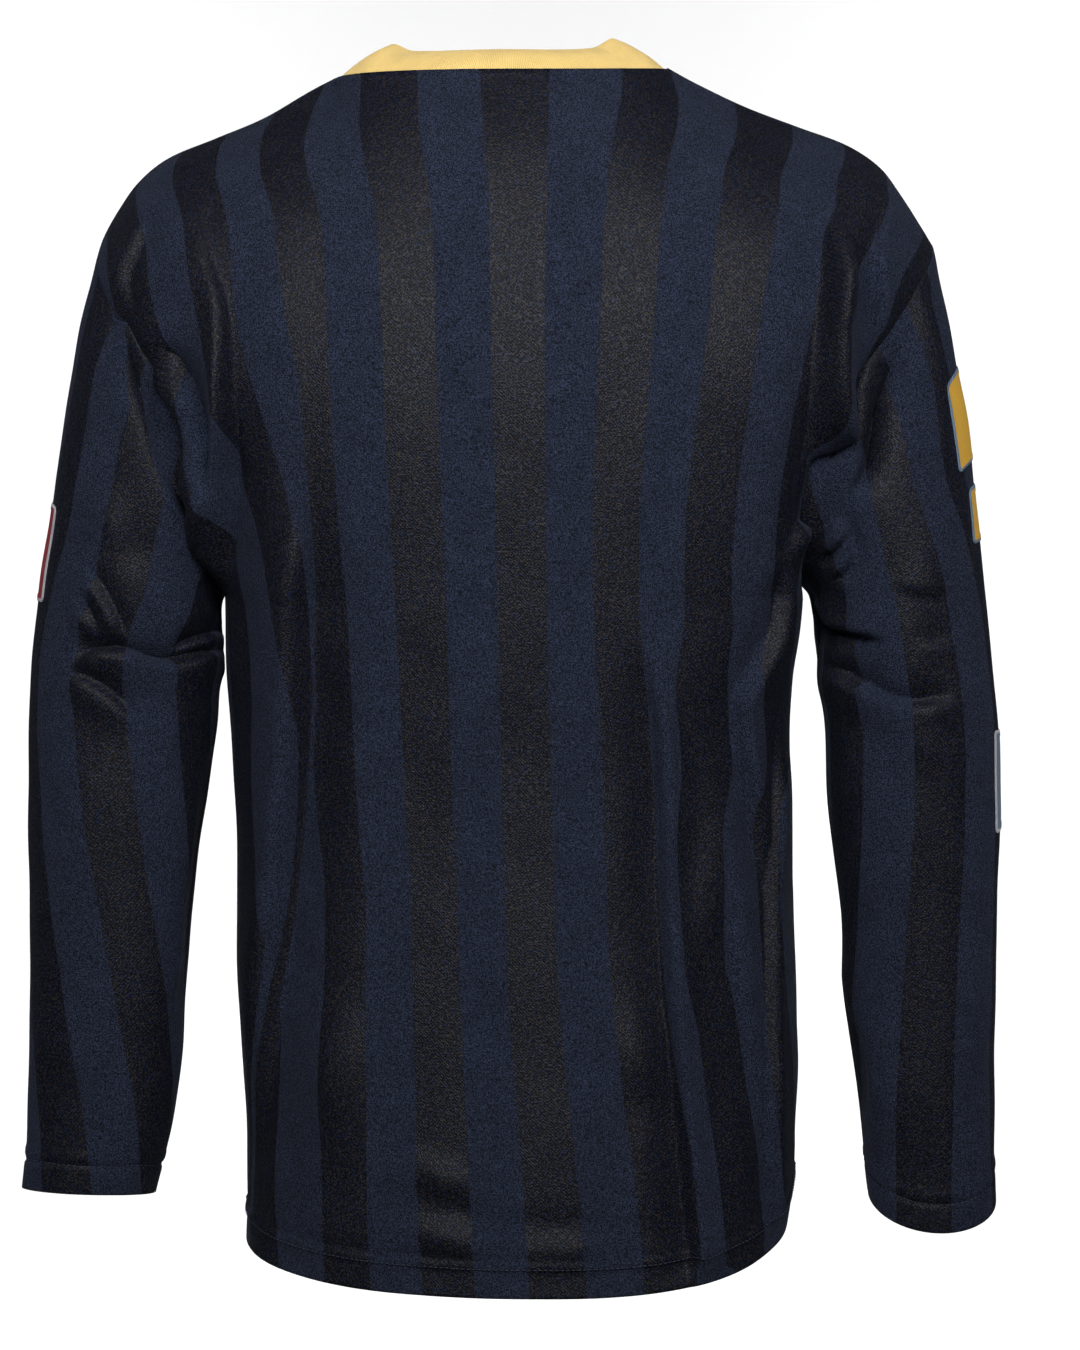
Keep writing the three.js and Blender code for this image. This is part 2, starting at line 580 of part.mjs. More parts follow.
function clothMesh(name, geometry, colour, roughness) {
  const material = new THREE.MeshStandardMaterial({ color: colour, roughness, metalness: 0 });
  const mesh = new THREE.Mesh(geometry, material);
  mesh.name = name;
  return mesh;
}

// ---- the jersey ------------------------------------------------------------------------------
const pieces = [
  { name: 'back_panel', grid: bodyPanel(BACK), seams: { sides: true, top: true }, colour: STRIPED },
  { name: 'front_panel', grid: bodyPanel(FRONT), seams: { sides: true, top: true }, colour: STRIPED },
  { name: 'left_sleeve', grid: sleeve(LEFT), seams: { top: true }, armhole: true, colour: STRIPED },
  { name: 'right_sleeve', grid: sleeve(RIGHT), seams: { top: true }, armhole: true, colour: STRIPED },
  { name: 'collar', grid: collar(), seams: { bottom: true }, colour: GOLD, wall: COLLAR_WALL },
];
shareNormals(pieces);

const jersey = new THREE.Group();
for (const piece of pieces) {
  const drawn = drawBack(piece.grid, piece.normals, piece.seams);
  const geometry = wallGeometry(drawn, piece.normals, 0, piece.wall ?? WALL);
  jersey.add(clothMesh(piece.name, geometry, piece.colour, 0.9));
}
for (const patch of PATCHES) {
  const host = pieces.find((piece) => piece.name === `${sideName(patch.sleeve)}_sleeve`);
  const grid = patchGrid(host.grid, patch);
  const normals = gridNormals(grid).map((normal) => normal.normalize());
  const geometry = wallGeometry(grid, normals, PATCH_LIFT + PATCH_WALL, PATCH_WALL);
  jersey.add(clothMesh(patch.name, geometry, patch.colour, 0.8));
}

export default jersey;
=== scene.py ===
"""A long-sleeved sports jersey, hollow and filled out as it is when worn, seen from behind.

Millimetres inside, metres in the meshes. +Z is up, the wearer faces -Y and the wearer's left is
+X. Each panel is a thin sheet laid on its solid's form: the form is a smooth function of two
shares, and folds, dents and seams then move the cloth along its own normals. Its wall grows
outwards from there.
"""
import math
from collections import namedtuple

import bpy
import numpy as np
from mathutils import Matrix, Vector


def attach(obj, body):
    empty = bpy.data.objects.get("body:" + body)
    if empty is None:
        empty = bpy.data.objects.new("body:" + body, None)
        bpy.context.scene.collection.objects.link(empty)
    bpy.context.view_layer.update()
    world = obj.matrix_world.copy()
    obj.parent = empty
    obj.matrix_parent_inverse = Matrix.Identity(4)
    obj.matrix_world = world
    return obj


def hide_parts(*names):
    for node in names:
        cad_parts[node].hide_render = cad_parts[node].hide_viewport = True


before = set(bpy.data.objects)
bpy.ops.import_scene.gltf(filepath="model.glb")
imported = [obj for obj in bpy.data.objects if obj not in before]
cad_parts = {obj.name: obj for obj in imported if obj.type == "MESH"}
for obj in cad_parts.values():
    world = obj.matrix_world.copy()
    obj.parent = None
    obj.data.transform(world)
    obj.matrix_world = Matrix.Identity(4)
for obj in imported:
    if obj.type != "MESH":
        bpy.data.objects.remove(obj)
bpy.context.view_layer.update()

bl_info = {
    "name": "Long-sleeved Jersey",
    "version": (1, 0, 0),
    "blender": (4, 5, 0),
    "location": "View3D > Sidebar > Jersey",
    "description": "Builds a worn, long-sleeved striped jersey with a flat-knit collar",
    "category": "Add Mesh",
}

MM = 0.001
BACK, FRONT = 1, -1
LEFT, RIGHT = 1, -1

# ---- form -------------------------------------------------------------------------------------
NECK_SHARE = 0.28  # of a row's half width that the neckline takes
ARMHOLE_SHARE = 0.45  # of a column's length that lies above the underarm
CORNER_SPREAD = 0.95  # how widely the neckline's corners soften down the panel
ROW_DROP = 2.5  # exponent: the higher, the nearer its side a row falls to the side's height
SETTLE_SHARE = 0.25  # of a sleeve's length over which the armhole's own shape dies away
TOP_REACH = {BACK: 0.26, FRONT: 0.32}  # how far down a panel its top edge's shape is felt
TOP_FADE = {BACK: 2, FRONT: 3}
SEAM_GAP = 0.3

MIDDLE = {
    "down": (0.0, 0.08, 0.16, 0.28, 0.45, 0.6, 0.75, 0.9, 1.0),
    "x": (4, 1, -1, -2, -4, -6, -9, -16, -21),
    "back_y": (62, 91, 106, 112, 105, 98, 106, 119, 126),
    "back_z": (-8, -62, -118, -208, -330, -440, -549, -658, -730),
    "front_y": (-96, -110, -120, -125, -121, -114, -116, -122, -126),
    "front_z": (-118, -152, -190, -250, -335, -436, -540, -646, -716),
    "roundness": (2.3, 2.4, 2.5, 2.6, 2.4, 2.2, 2.2, 2.2, 2.2),
}
SIDE_SEAM = {
    "down": (0.45, 0.55, 0.65, 0.78, 0.9, 1.0),
    "left_x": (177, 174, 168, 163, 161, 164),
    "left_z": (-318, -390, -460, -551, -638, -711),
    "right_x": (-175, -169, -168, -171, -172, -169),
    "right_z": (-311, -386, -457, -546, -624, -690),
    "y": (2, 2, 2, 3, 4, 5),
}
SHOULDER = {
    "along": (0.0, 0.1, 0.26, 0.43, 0.6, 0.72, 0.83, 0.92, 1.0),
    "left_x": (108, 124, 153, 183, 213, 231, 244, 252, 257),
    "left_z": (-4, -12, -28, -40, -52, -66, -84, -99, -114),
    "right_x": (-93, -110, -141, -174, -205, -225, -238, -248, -258),
    "right_z": (2, -7, -21, -33, -44, -57, -74, -90, -106),
    "y": (15, 13, 9, 6, 3, 1, 0, 0, 0),
}
ARMHOLE = {"back": 62, "front": 56, "dip": 40}
SLEEVES = {
    LEFT: {
        "outer_x": (257, 269, 277, 285, 294.5, 298, 298.5, 297.5, 297, 297.5, 301),
        "outer_z": (-114, -166, -218, -275, -336, -392, -446, -512, -580, -640, -685),
        "inner_x": (177, 181, 183, 183, 182, 185, 192, 199, 204, 211, 223),
        "inner_z": (-318, -321, -328, -340, -364, -397, -449, -512, -580, -640, -688),
        "y": (1, 1, 1, 1, 2, 3, 4, 6, 8, 10, 12),
        "back": (62, 64, 63, 60, 56, 53, 50, 46, 43, 39, 35),
        "front": (56, 60, 61, 60, 56, 53, 51, 47, 43, 39, 35),
        "drop": (0, 0, 0, 0, 0, 0, 0, 0, -1, -2, -3),
    },
    RIGHT: {
        "outer_x": (-258, -270, -278.5, -285, -291, -297, -299, -298, -297, -296.5, -298),
        "outer_z": (-106, -160, -214, -272, -332, -392, -446, -512, -580, -645, -692),
        "inner_x": (-175, -180, -184, -186, -189, -194, -196, -204, -207, -216, -221),
        "inner_z": (-311, -315, -321, -333, -357, -396, -449, -512, -580, -645, -691),
        "y": (1, 1, 1, 1, 1, 1, 0, -1, -2, -3, -4),
        "back": (62, 64, 63, 60, 56, 53, 50, 46, 43, 39, 36),
        "front": (56, 60, 61, 60, 56, 53, 51, 47, 43, 39, 36),
        "drop": (0, 0, 0, 0, 1, 2, 5, 8, 11, 14, 18),
    },
}
COLLAR_LEAN = 0.74
COLLAR_FRONT_LEAN = 0.95
COLLAR_CENTRE = (6, -14)
COLLAR_BULGE = 3
COLLAR_RISE = {
    "round": (0.0, 0.26, 0.36, 0.46, 0.56, 0.75, 1.0),
    "rise": (17, 17, 22, 17, 14, 17, 30),
}

# ---- stripes ----------------------------------------------------------------------------------
STRIPE = 32.0  # width of one stripe of the cloth as it is knitted
# Width that a stripe takes up on the worn body at each height below the origin: inner up to a number
# of stripes from the centre line, called change, and outer beyond. Shift moves the centre stripe.
BODY_STRIPES = {
    "drop": (0, 20, 45, 70, 90, 110, 150, 200, 270, 325, 357, 385, 422, 457, 493, 530, 600, 670, 740),
    "shift": (-3, -3, -3, -3, -3, -2, -1.5, -2, -2.5, -2.5, -2, -2, -2, -2, -2, -2, -3, -5, -5),
    "left_inner": (38, 38, 38, 36.4, 34.4, 33, 32, 31.6, 31, 30.2, 29.6, 29.3, 28.9, 28.6, 27.8,
                   27.9, 29, 31, 31.5),
    "left_outer": (31, 31, 30, 29.4, 28.6, 28, 28, 28.4, 29, 30, 31, 32, 33.5, 35, 36, 38, 40, 40, 38),
    "left_change": (*(3.5,) * 7, 3.7, 3.9, 4.2, 4.3, 4.4, 4.5, 4.65, 4.7, *(4.6,) * 4),
    "right_inner": (46, 44, 40, 36, 34.6, 33.5, 32.3, 30.3, 27.6, 27.2, 27.8, 28.8, 29.6, 30, 30.3, 30.6,
                    31.6, 33.3, 34),
    "right_outer": (48, 46, 41, 37, 36, 35, 31.5, 30.5, 31, 31, 36, 44, 46, 40, 36, 35, 37, 38, 38),
    "right_change": (3.5,) * 19,
}
# Where a chosen stripe edge lies, from the sleeve's outermost line towards its back, and the width
# of the stripes there.
SLEEVE_STRIPES = {
    LEFT: {
        "drop": (100, 180, 265, 313, 361, 409, 506, 598, 658, 700),
        "edge": (77, 77, 76, 71, 62, 64, 73, 86, 94, 99),
        "width": (24, 24, 26, 31, 31, 32, 31.5, 32, 31.5, 31),
    },
    RIGHT: {
        "drop": (100, 150, 200, 252, 292, 337, 433, 592, 658, 700),
        "edge": (78, 78, 78, 79, 70, 60, 54, 54, 53, 52),
        "width": (21, 21, 21, 21, 29, 32, 32, 33, 33, 33),
    },
}

# ---- folds ------------------------------------------------------------------------------------
# A fold is a crest along a line, seen from its own side of the garment, with a steep wall and a
# rounded valley beside it. Toward says on which side of the line the valley lies: 1 for the
# wearer's left or, on a line that runs across, for above. Tuck is the cloth hidden in the wall,
# and lean is how far the crest hangs over it. Start and end are the lengths of its tapers.
Fold = namedtuple("Fold", "face on line width rise sink toward tuck lean start end")
BODY, SLEEVE, BOTH = "body", "sleeve", "both"
FOLDS = [
    # long fold down the left of the back
    Fold(BACK, BODY, [(117, -250), (115, -295), (116, -321), (118, -349), (119, -396), (124, -449),
                      (130, -502), (138, -564), (144, -620), (150, -670)],
         17, 7, 16, 1, 0, 3, 90, 190),
    Fold(BACK, BODY, [(122, -158), (121, -210), (119, -250), (116.5, -295), (117, -321), (118, -349),
                      (119, -396), (124, -449), (131, -502), (142, -564), (151, -620), (158, -700)],
         10, 0, 0, 1, 60, 0, 280, 20),
    Fold(BACK, BODY, [(131, -502), (142, -564), (151, -620), (158, -700)], 10, 0, 0, 1, 14, 0, 110, 10),
    # edge of the back beside the left armhole
    Fold(BACK, BODY, [(181, -96), (175, -125), (166, -148), (162, -175), (161, -204), (160, -221),
                      (161, -249), (163, -271), (167, -299), (170, -318)],
         11, 5, 30, 1, 12, 7, 250, 30),
    # rolled ridge beside the left armhole
    Fold(BACK, BODY, [(215, -178), (203, -186), (189, -200), (179, -222), (172, -240), (166, -268)],
         9, 9, 12, 1, 4, 3, 16, 24),
    # bulge of the back over the left sleeve, and its run down the sleeve
    Fold(BACK, BOTH, [(214, -90), (224, -112), (230, -127), (232, -141), (232, -158), (233, -176)],
         7, 3.2, 3, 1, 3, 1, 34, 16),
    Fold(BACK, SLEEVE, [(238, -150), (235, -180), (232, -198), (227, -212), (220, -235), (214, -252),
                        (203, -274), (193, -293), (183, -312)],
         12, 3, 8, -1, 24, 1.5, 30, 30),
    # groove of the left armhole
    Fold(BACK, SLEEVE, [(204, -196), (197, -212), (190, -232), (186, -252), (182, -275), (179, -300)],
         9, 4, 20, -1, 0, 1, 24, 20),
    # edge of the back beside the right armhole
    Fold(BACK, BODY, [(-181, -92), (-181, -120), (-179, -150), (-177, -185), (-176, -216),
                      (-176, -244), (-175, -262), (-170, -276), (-163, -290), (-160, -306)],
         10, 4, 27, -1, 12, 3, 60, 90),
    # ring of cloth above it
    Fold(BACK, BODY, [(-181, -124), (-182, -112), (-187, -106), (-195, -110), (-200, -120),
                      (-202, -136), (-198, -154), (-190, -164), (-182, -173)],
         9, 3, 3, 1, 0, 0, 34, 34),
    # bulge of the back over the right sleeve
    Fold(BACK, BOTH, [(-228, -82), (-220, -98), (-215, -114), (-215, -130), (-214, -150), (-213, -172)],
         7, 3.6, 4, -1, 6, 1, 26, 20),
    # groove of the right armhole
    Fold(BACK, SLEEVE, [(-217, -168), (-211, -196), (-208, -218), (-204, -241), (-199, -262)],
         9, 4, 16, -1, 0, 2, 20, 26),
    Fold(BACK, SLEEVE, [(-240, -118), (-248, -147), (-255, -178), (-261, -212)],
         9, 3, 3.5, -1, 0, 0, 26, 40),
    Fold(BACK, SLEEVE, [(-229, -128), (-231, -150), (-232, -172)], 7, 1.5, 2, -1, 0, 0, 20, 26),
    # folds down the right of the back
    Fold(BACK, BODY, [(-159, -306), (-153, -340), (-147, -354), (-138, -370), (-131, -382),
                      (-130, -396), (-133, -418), (-141, -452), (-148, -500)],
         10, 4, 9, -1, 16, 2, 20, 50),
    Fold(BACK, BODY, [(-76, -352), (-78, -385), (-80, -414), (-82, -455), (-83, -502), (-87, -567),
                      (-94, -637), (-99, -690), (-102, -724)],
         10, 6, 10, -1, 0, 3.5, 60, 24),
    Fold(BACK, BODY, [(-77, -340), (-80, -400), (-85, -450), (-89, -502), (-93, -545), (-99, -600),
                      (-103, -660), (-107, -724)],
         10, 0, 0, -1, 14, 0, 60, 10),
    Fold(BACK, BODY, [(-83, -430), (-89, -502), (-97, -580)], 10, 0, 0, -1, 7, 0, 50, 50),
    # right flank
    Fold(BACK, BODY, [(-156, -400), (-152, -460), (-150, -520), (-149, -620), (-153, -700)],
         8, 3.5, 6, -1, 20, 1.5, 60, 30),
    Fold(BACK, BODY, [(-124, -470), (-127, -520), (-136, -590), (-146, -650)],
         15, 2.5, 4, -1, 6, 0, 50, 50),
    # elbow of the left sleeve
    Fold(BACK, SLEEVE, [(266, -365), (258, -363), (250, -361), (237, -361), (220, -366), (207, -368),
                        (190, -363), (179, -357)],
         9, 5, 10, -1, 0, 3, 18, 16),
    Fold(BACK, SLEEVE, [(270, -372), (262, -375), (250, -381), (238, -391), (228, -402)],
         8, 4, 7, -1, 0, 1, 16, 24),
    Fold(BACK, SLEEVE, [(204, -358), (190, -351), (178, -344)], 6.5, 4, 6, -1, 0, 1, 14, 14),
    Fold(BACK, SLEEVE, [(258, -306), (251, -318), (244, -330), (235, -350)], 6, 3.6, 5, -1, 0, 0, 18, 16),
    Fold(BACK, SLEEVE, [(263, -320), (258, -334), (251, -347)], 6, 3, 4.5, -1, 0, 0, 16, 14),
    # elbow of the right sleeve
    Fold(BACK, SLEEVE, [(-190, -366), (-196, -372), (-203, -378), (-211, -382), (-223, -388),
                        (-241, -392), (-256, -390), (-268, -386)],
         9, 4, 8, -1, 0, 2, 16, 24),
    Fold(BACK, SLEEVE, [(-186, -322), (-192, -337), (-205, -341), (-215, -343), (-226, -348)],
         8, 4, 7, 1, 0, 1, 16, 20),
    Fold(BACK, SLEEVE, [(-228, -313), (-241, -317), (-264, -319)], 10, 1.6, 2.4, 1, 0, 0, 24, 24),
    Fold(BACK, SLEEVE, [(-238, -351), (-252, -354), (-270, -354)], 10, 1.6, 3, -1, 0, 0, 24, 24),
    Fold(BACK, SLEEVE, [(-190, -276), (-198, -284), (-200, -300), (-192, -312)],
         8, 3.5, 5, -1, 0, 0, 16, 14),
    Fold(BACK, SLEEVE, [(-183, -298), (-192, -292), (-201, -280)], 6, 3, 4, 1, 0, 0, 12, 12),
    Fold(BACK, SLEEVE, [(-190, -470), (-195, -500), (-201, -535), (-210, -572), (-219, -600),
                        (-223, -650)],
         11, 2.5, 3.5, 1, 0, 0, 50, 40),
    # inner edge of the left forearm
    Fold(BACK, SLEEVE, [(194, -420), (200, -470), (206, -530), (213, -590)], 11, 2, 3, -1, 0, 0, 50, 50),
    # front
    Fold(FRONT, BODY, [(112, -300), (110, -360), (112, -420), (122, -510), (130, -600), (134, -680)],
         17, 3.5, 8, 1, 26, 1.5, 70, 60),
    Fold(FRONT, BODY, [(-100, -330), (-98, -390), (-104, -480), (-116, -580), (-126, -680)],
         17, 3.5, 8, -1, 22, 1.5, 70, 60),
    Fold(FRONT, BODY, [(60, -420), (52, -500), (50, -590), (54, -690)], 22, 3, 4, 1, 6, 0, 80, 40),
    Fold(FRONT, BODY, [(-44, -470), (-50, -560), (-52, -650), (-50, -712)], 22, 2.5, 4, -1, 6, 0, 80, 20),
    Fold(FRONT, BODY, [(186, -112), (176, -150), (168, -195), (166, -240), (170, -290)],
         13, 4, 12, 1, 10, 2, 40, 30),
    Fold(FRONT, BODY, [(-186, -106), (-177, -150), (-170, -195), (-168, -240), (-170, -288)],
         13, 4, 12, -1, 10, 2, 40, 30),
    Fold(FRONT, BODY, [(206, -140), (190, -170), (176, -214), (168, -252)], 9, 3.5, 6, 1, 0, 0, 26, 30),
    Fold(FRONT, BODY, [(-204, -134), (-190, -170), (-178, -210), (-170, -250)], 9, 3.5, 6, -1, 0, 0, 26, 30),
    Fold(FRONT, BODY, [(98, -34), (120, -70), (134, -120)], 16, 2, 3, 1, 0, 0, 40, 50),
    Fold(FRONT, BODY, [(-88, -30), (-110, -70), (-124, -120)], 16, 2, 3, -1, 0, 0, 40, 50),
    Fold(FRONT, BODY, [(40, -150), (22, -178), (0, -190), (-20, -180)], 18, 1.6, 2.4, -1, 0, 0, 40, 40),
    Fold(FRONT, SLEEVE, [(240, -150), (232, -196), (218, -244), (200, -290)], 12, 3.5, 7, -1, 8, 1, 40, 30),
    Fold(FRONT, SLEEVE, [(-242, -150), (-232, -196), (-218, -244), (-198, -290)],
         12, 3.5, 7, 1, 8, 1, 40, 30),
    Fold(FRONT, SLEEVE, [(182, -366), (206, -378), (232, -382), (262, -372)], 9, 4, 7, -1, 0, 1, 20, 24),
    Fold(FRONT, SLEEVE, [(184, -344), (204, -352), (226, -352)], 8, 2.5, 4, -1, 0, 0, 18, 20),
    Fold(FRONT, SLEEVE, [(262, -400), (236, -412), (206, -420)], 9, 2.5, 4, -1, 0, 0, 24, 24),
    Fold(FRONT, SLEEVE, [(-190, -362), (-212, -376), (-238, -380), (-266, -370)], 9, 4, 7, -1, 0, 1, 20, 24),
    Fold(FRONT, SLEEVE, [(-188, -336), (-206, -346), (-230, -348)], 8, 2.5, 4, -1, 0, 0, 18, 20),
    Fold(FRONT, SLEEVE, [(-266, -398), (-238, -410), (-208, -414)], 9, 2.5, 4, -1, 0, 0, 24, 24),
]

# A dent is an oval hollow (or a swelling, where its depth is negative), turned by an angle from
# upright.
Dent = namedtuple("Dent", "face on x z long wide turn depth")
DENTS = [
    Dent(BACK, BODY, 40, -662, 22, 10, 70, 4.5),
    Dent(BACK, BODY, 40, -696, 28, 8, 80, 4.5),
    Dent(BACK, BODY, 30, -680, 26, 8, 80, -2.0),
    Dent(BACK, BODY, -23, -704, 32, 8, 90, 2.6),
    Dent(BACK, BODY, -20, -688, 30, 8, 90, -1.6),
    Dent(BACK, BODY, -76, -594, 24, 14, 20, 5.0),
    Dent(BACK, BODY, -72, -622, 16, 11, 30, -2.2),
    Dent(BACK, BODY, -116, -505, 40, 13, -10, 5.0),
    Dent(BACK, BODY, -92, -706, 24, 7, 90, 2.2),
    Dent(BACK, BODY, 102, -602, 40, 19, -6, 8.0),
    Dent(BACK, BODY, 92, -420, 60, 13, 0, 2.0),
    Dent(BACK, BODY, 55, -455, 90, 16, 0, -1.5),
    Dent(BACK, BODY, 20, -560, 80, 18, 6, -1.5),
    Dent(BACK, BODY, -50, -470, 90, 16, 4, 1.6),
    Dent(BACK, BODY, 148, -420, 40, 12, -4, 2.5),
    Dent(BACK, BODY, -190, -138, 17, 6, 0, 5.0),
    Dent(BACK, BODY, -148, -320, 26, 8, 8, 4.0),
    Dent(BACK, BODY, 30, -100, 40, 22, 60, -1.5),
    Dent(BACK, BODY, -60, -150, 60, 24, -20, 1.2),
    Dent(BACK, BODY, 90, -170, 60, 20, 10, 1.2),
    Dent(BACK, BODY, 118, -112, 40, 16, 40, -1.6),
    Dent(BACK, SLEEVE, 227, -294, 14, 12, 0, 3.5),
    Dent(BACK, SLEEVE, 240, -282, 22, 10, 30, -2.0),
    Dent(BACK, SLEEVE, 206, -330, 22, 12, 10, -2.5),
    Dent(BACK, SLEEVE, -247, -412, 20, 11, 50, -2.8),
    Dent(BACK, SLEEVE, -190, -236, 9, 5, -30, 6.0),
    Dent(BACK, SLEEVE, -184, -286, 20, 10, -20, 4.0),
    Dent(BACK, SLEEVE, -194, -330, 16, 9, 30, 3.5),
    Dent(BACK, SLEEVE, -246, -300, 60, 12, -8, -1.8),
    Dent(BACK, SLEEVE, 262, -470, 70, 14, 2, -1.6),
    Dent(BACK, SLEEVE, 246, -600, 60, 12, 4, 1.8),
    Dent(BACK, SLEEVE, -248, -520, 70, 14, -2, 1.8),
    Dent(BACK, SLEEVE, -262, -640, 44, 12, 6, -1.6),
    Dent(FRONT, BODY, 0, -640, 60, 22, 10, 2.4),
    Dent(FRONT, BODY, 80, -560, 80, 18, 0, -2.0),
    Dent(FRONT, BODY, -76, -540, 80, 18, 0, -2.0),
    Dent(FRONT, BODY, 60, -240, 60, 26, 20, -1.5),
    Dent(FRONT, BODY, -66, -250, 60, 26, -20, 1.5),
    Dent(FRONT, SLEEVE, 250, -540, 70, 14, 4, 2.0),
    Dent(FRONT, SLEEVE, -250, -540, 70, 14, -4, 2.0),
]

# How far a fold's parts reach from its crest, in its own widths: its rounded back, its steep wall,
# its valley, and the band that leans. Past FOLD_REACH widths and FOLD_MARGIN it moves nothing.
FOLD_BACK, FOLD_WALL, FOLD_VALLEY, FOLD_BAND = 1.3, 0.34, 1.7, 0.8
FOLD_REACH, FOLD_MARGIN = 4, 10
FOLD_STUB = 0.15  # how far along its taper a fold begins
TUCK_WIDTH = 7.0  # distance across a crest over which its tuck hides the cloth
TUCK_LEAD = 0.3  # share of that distance that lies before the crest
FACE_BLEND = 26.0  # depth over which the back's folds give way to the front's
# slow unevenness all over the cloth: how many waves, their height, and their least and most length
WAVES, WAVE_HEIGHT, WAVE_SHORT, WAVE_LONG = 8, 0.5, 26, 80

# ---- sewing -----------------------------------------------------------------------------------
SEAM_GROOVE = (0.9, 1.6)  # depth and width of the groove that a seam makes in the cloth
SEAM_BLEND = 26.0  # distance over which a panel's own normal takes over from the seam's
TOP_CALM = 22.0  # folds start at this distance below the neckline,
SHOULDER_CALM = 16.0  # the shoulder seam,
ARMHOLE_CALM = 9.0  # the armhole
UNDERARM_CALM = 14.0  # and the underarm, where all four pieces meet
NECK_FADE = 0.1  # share of a row over which one gives way to the next
PANEL_LENGTH = 720.0
SHARE_BELOW = 200.0  # how fast a body panel's folds come back below the underarm
HALF_GIRTH, SHOULDER_HALF_GIRTH = 140.0, 170.0  # of a sleeve, low and at its top
STITCH_LINE = 17.5  # from the turned edge
STITCH_PITCH, STITCH_LONG, STITCH_THICK = 3.2, 2.4, 0.34
STITCH_PROUD = 0.25
STITCH_GRIP = 0.8  # half the length of seam from which a stitch takes its direction
STITCH_RINGS = ((-0.5, 0.3), (-0.32, 1.0), (0.32, 1.0), (0.5, 0.3))  # shares along and across it
HEM_PROUD, HEM_EDGE = 0.5, 2.4  # how far the turned hem stands out, and over what width
HEM_DIP = (1.2, 1.3)  # depth and width of the furrow along its stitches
HEM_RIDGE = (0.8, 2.5, 5.5)  # height and width of the swelling above them, and its distance

# ---- patches ----------------------------------------------------------------------------------
PATCH_SINK = 0.2  # how far a patch sinks into the cloth
PATCH_BORDER = 2.4
PATCH_CORNER = 4.0
BORDER_RISE, FACE_RISE = 0.45, 0.12  # of the overstitched border and the face within it
Patch = namedtuple("Patch", "name node side start end first last face edge")
PATCHES = (
    # start and end are shares along the sleeve, first and last are shares round it
    Patch("left_patch", "left_sleeve_patch", LEFT, 0.28, 0.38, 0.42, 0.585, "red", "pale"),
    Patch("right_bar_upper", "right_sleeve_bar_1", RIGHT, 0.135, 0.24, 0.47, 0.62, "gold", "slate"),
    Patch("right_bar_lower", "right_sleeve_bar_2", RIGHT, 0.265, 0.325, 0.47, 0.59, "gold", "slate"),
    Patch("right_bar_slate", "right_sleeve_bar_3", RIGHT, 0.52, 0.63, 0.47, 0.57, "slate", "pale"),
)

# ---- grids ------------------------------------------------------------------------------------
NORMAL_STEP = 1e-3  # of a share, for working out normals
CURVE_STEPS = 10  # pieces that a fold's line has between two of its points
ARMHOLE_ROWS, SIDE_ROWS, HEM_ROWS = 84, 88, 14  # of a body panel, down to HEM_SHARE and beyond
HEM_SHARE = 0.965
NECK_COLUMNS, SHOULDER_COLUMNS = 26, 86  # of half a body panel
SEAM_COLUMNS = (0.9935, 0.9965, 1.0)  # shares across it, close together at its side
SLEEVE_ROWS, CUFF_ROWS = 170, 14
CUFF_SHARE = 0.955
COLLAR_COLUMNS, COLLAR_ROWS, COLLAR_TIP_ROWS = 96, 24, 6
PATCH_COLUMNS, PATCH_ROWS = 56, 72


def mix(a, b, share):
    """a where share is 0 and b where it is 1, in a straight line between."""
    return a + (b - a) * share


def ease(share):
    """0 below 0, 1 above 1 and 3s^2 - 2s^3 between."""
    s = np.clip(share, 0.0, 1.0)
    return s * s * (3 - 2 * s)


def smooth(table, key, column, at):
    """The column's value on a cubic Hermite curve through the table's rows, whose slope at each
    row is the line between its two neighbours."""
    x = np.asarray(table[key], float)
    y = np.asarray(table[column], float)
    slope = np.empty_like(y)
    slope[1:-1] = (y[2:] - y[:-2]) / (x[2:] - x[:-2])
    slope[0] = (y[1] - y[0]) / (x[1] - x[0])
    slope[-1] = (y[-1] - y[-2]) / (x[-1] - x[-2])
    i = np.clip(np.searchsorted(x, at, side="right") - 1, 0, len(x) - 2)
    span = x[i + 1] - x[i]
    s = (at - x[i]) / span
    return (
        y[i] * (1 + 2 * s) * (1 - s) ** 2
        + y[i + 1] * s * s * (3 - 2 * s)
        + slope[i] * span * s * (1 - s) ** 2
        - slope[i + 1] * span * s * s * (1 - s)
    )


def spot(x, y, z):
    """Points from their coordinates, on a new last axis."""
    return np.stack(np.broadcast_arrays(x, y, z), axis=-1).astype(float)


def unit(vectors):
    """Vectors of length 1."""
    return vectors / np.maximum(np.linalg.norm(vectors, axis=-1, keepdims=True), 1e-9)


def in_mm(size):
    """A size property in millimetres."""
    return round(size / MM, 3)


def side_name(side):
    """The word for a side."""
    return "left" if side == LEFT else "right"


# ---- form of the panels -----------------------------------------------------------------------
def seam_columns(side):
    """The columns of a seam's table that hold x, y and z on one side."""
    name = side_name(side)
    return name + "_x", "y", name + "_z"


def seam_row(seam, side, row):
    """The point in one row of a seam's table."""
    return np.array([seam[column][row] for column in seam_columns(side)], float)


def along_seam(seam, key, side, at):
    """Points on the smooth curve through a seam's table."""
    return spot(*(smooth(seam, key, column, at) for column in seam_columns(side)))


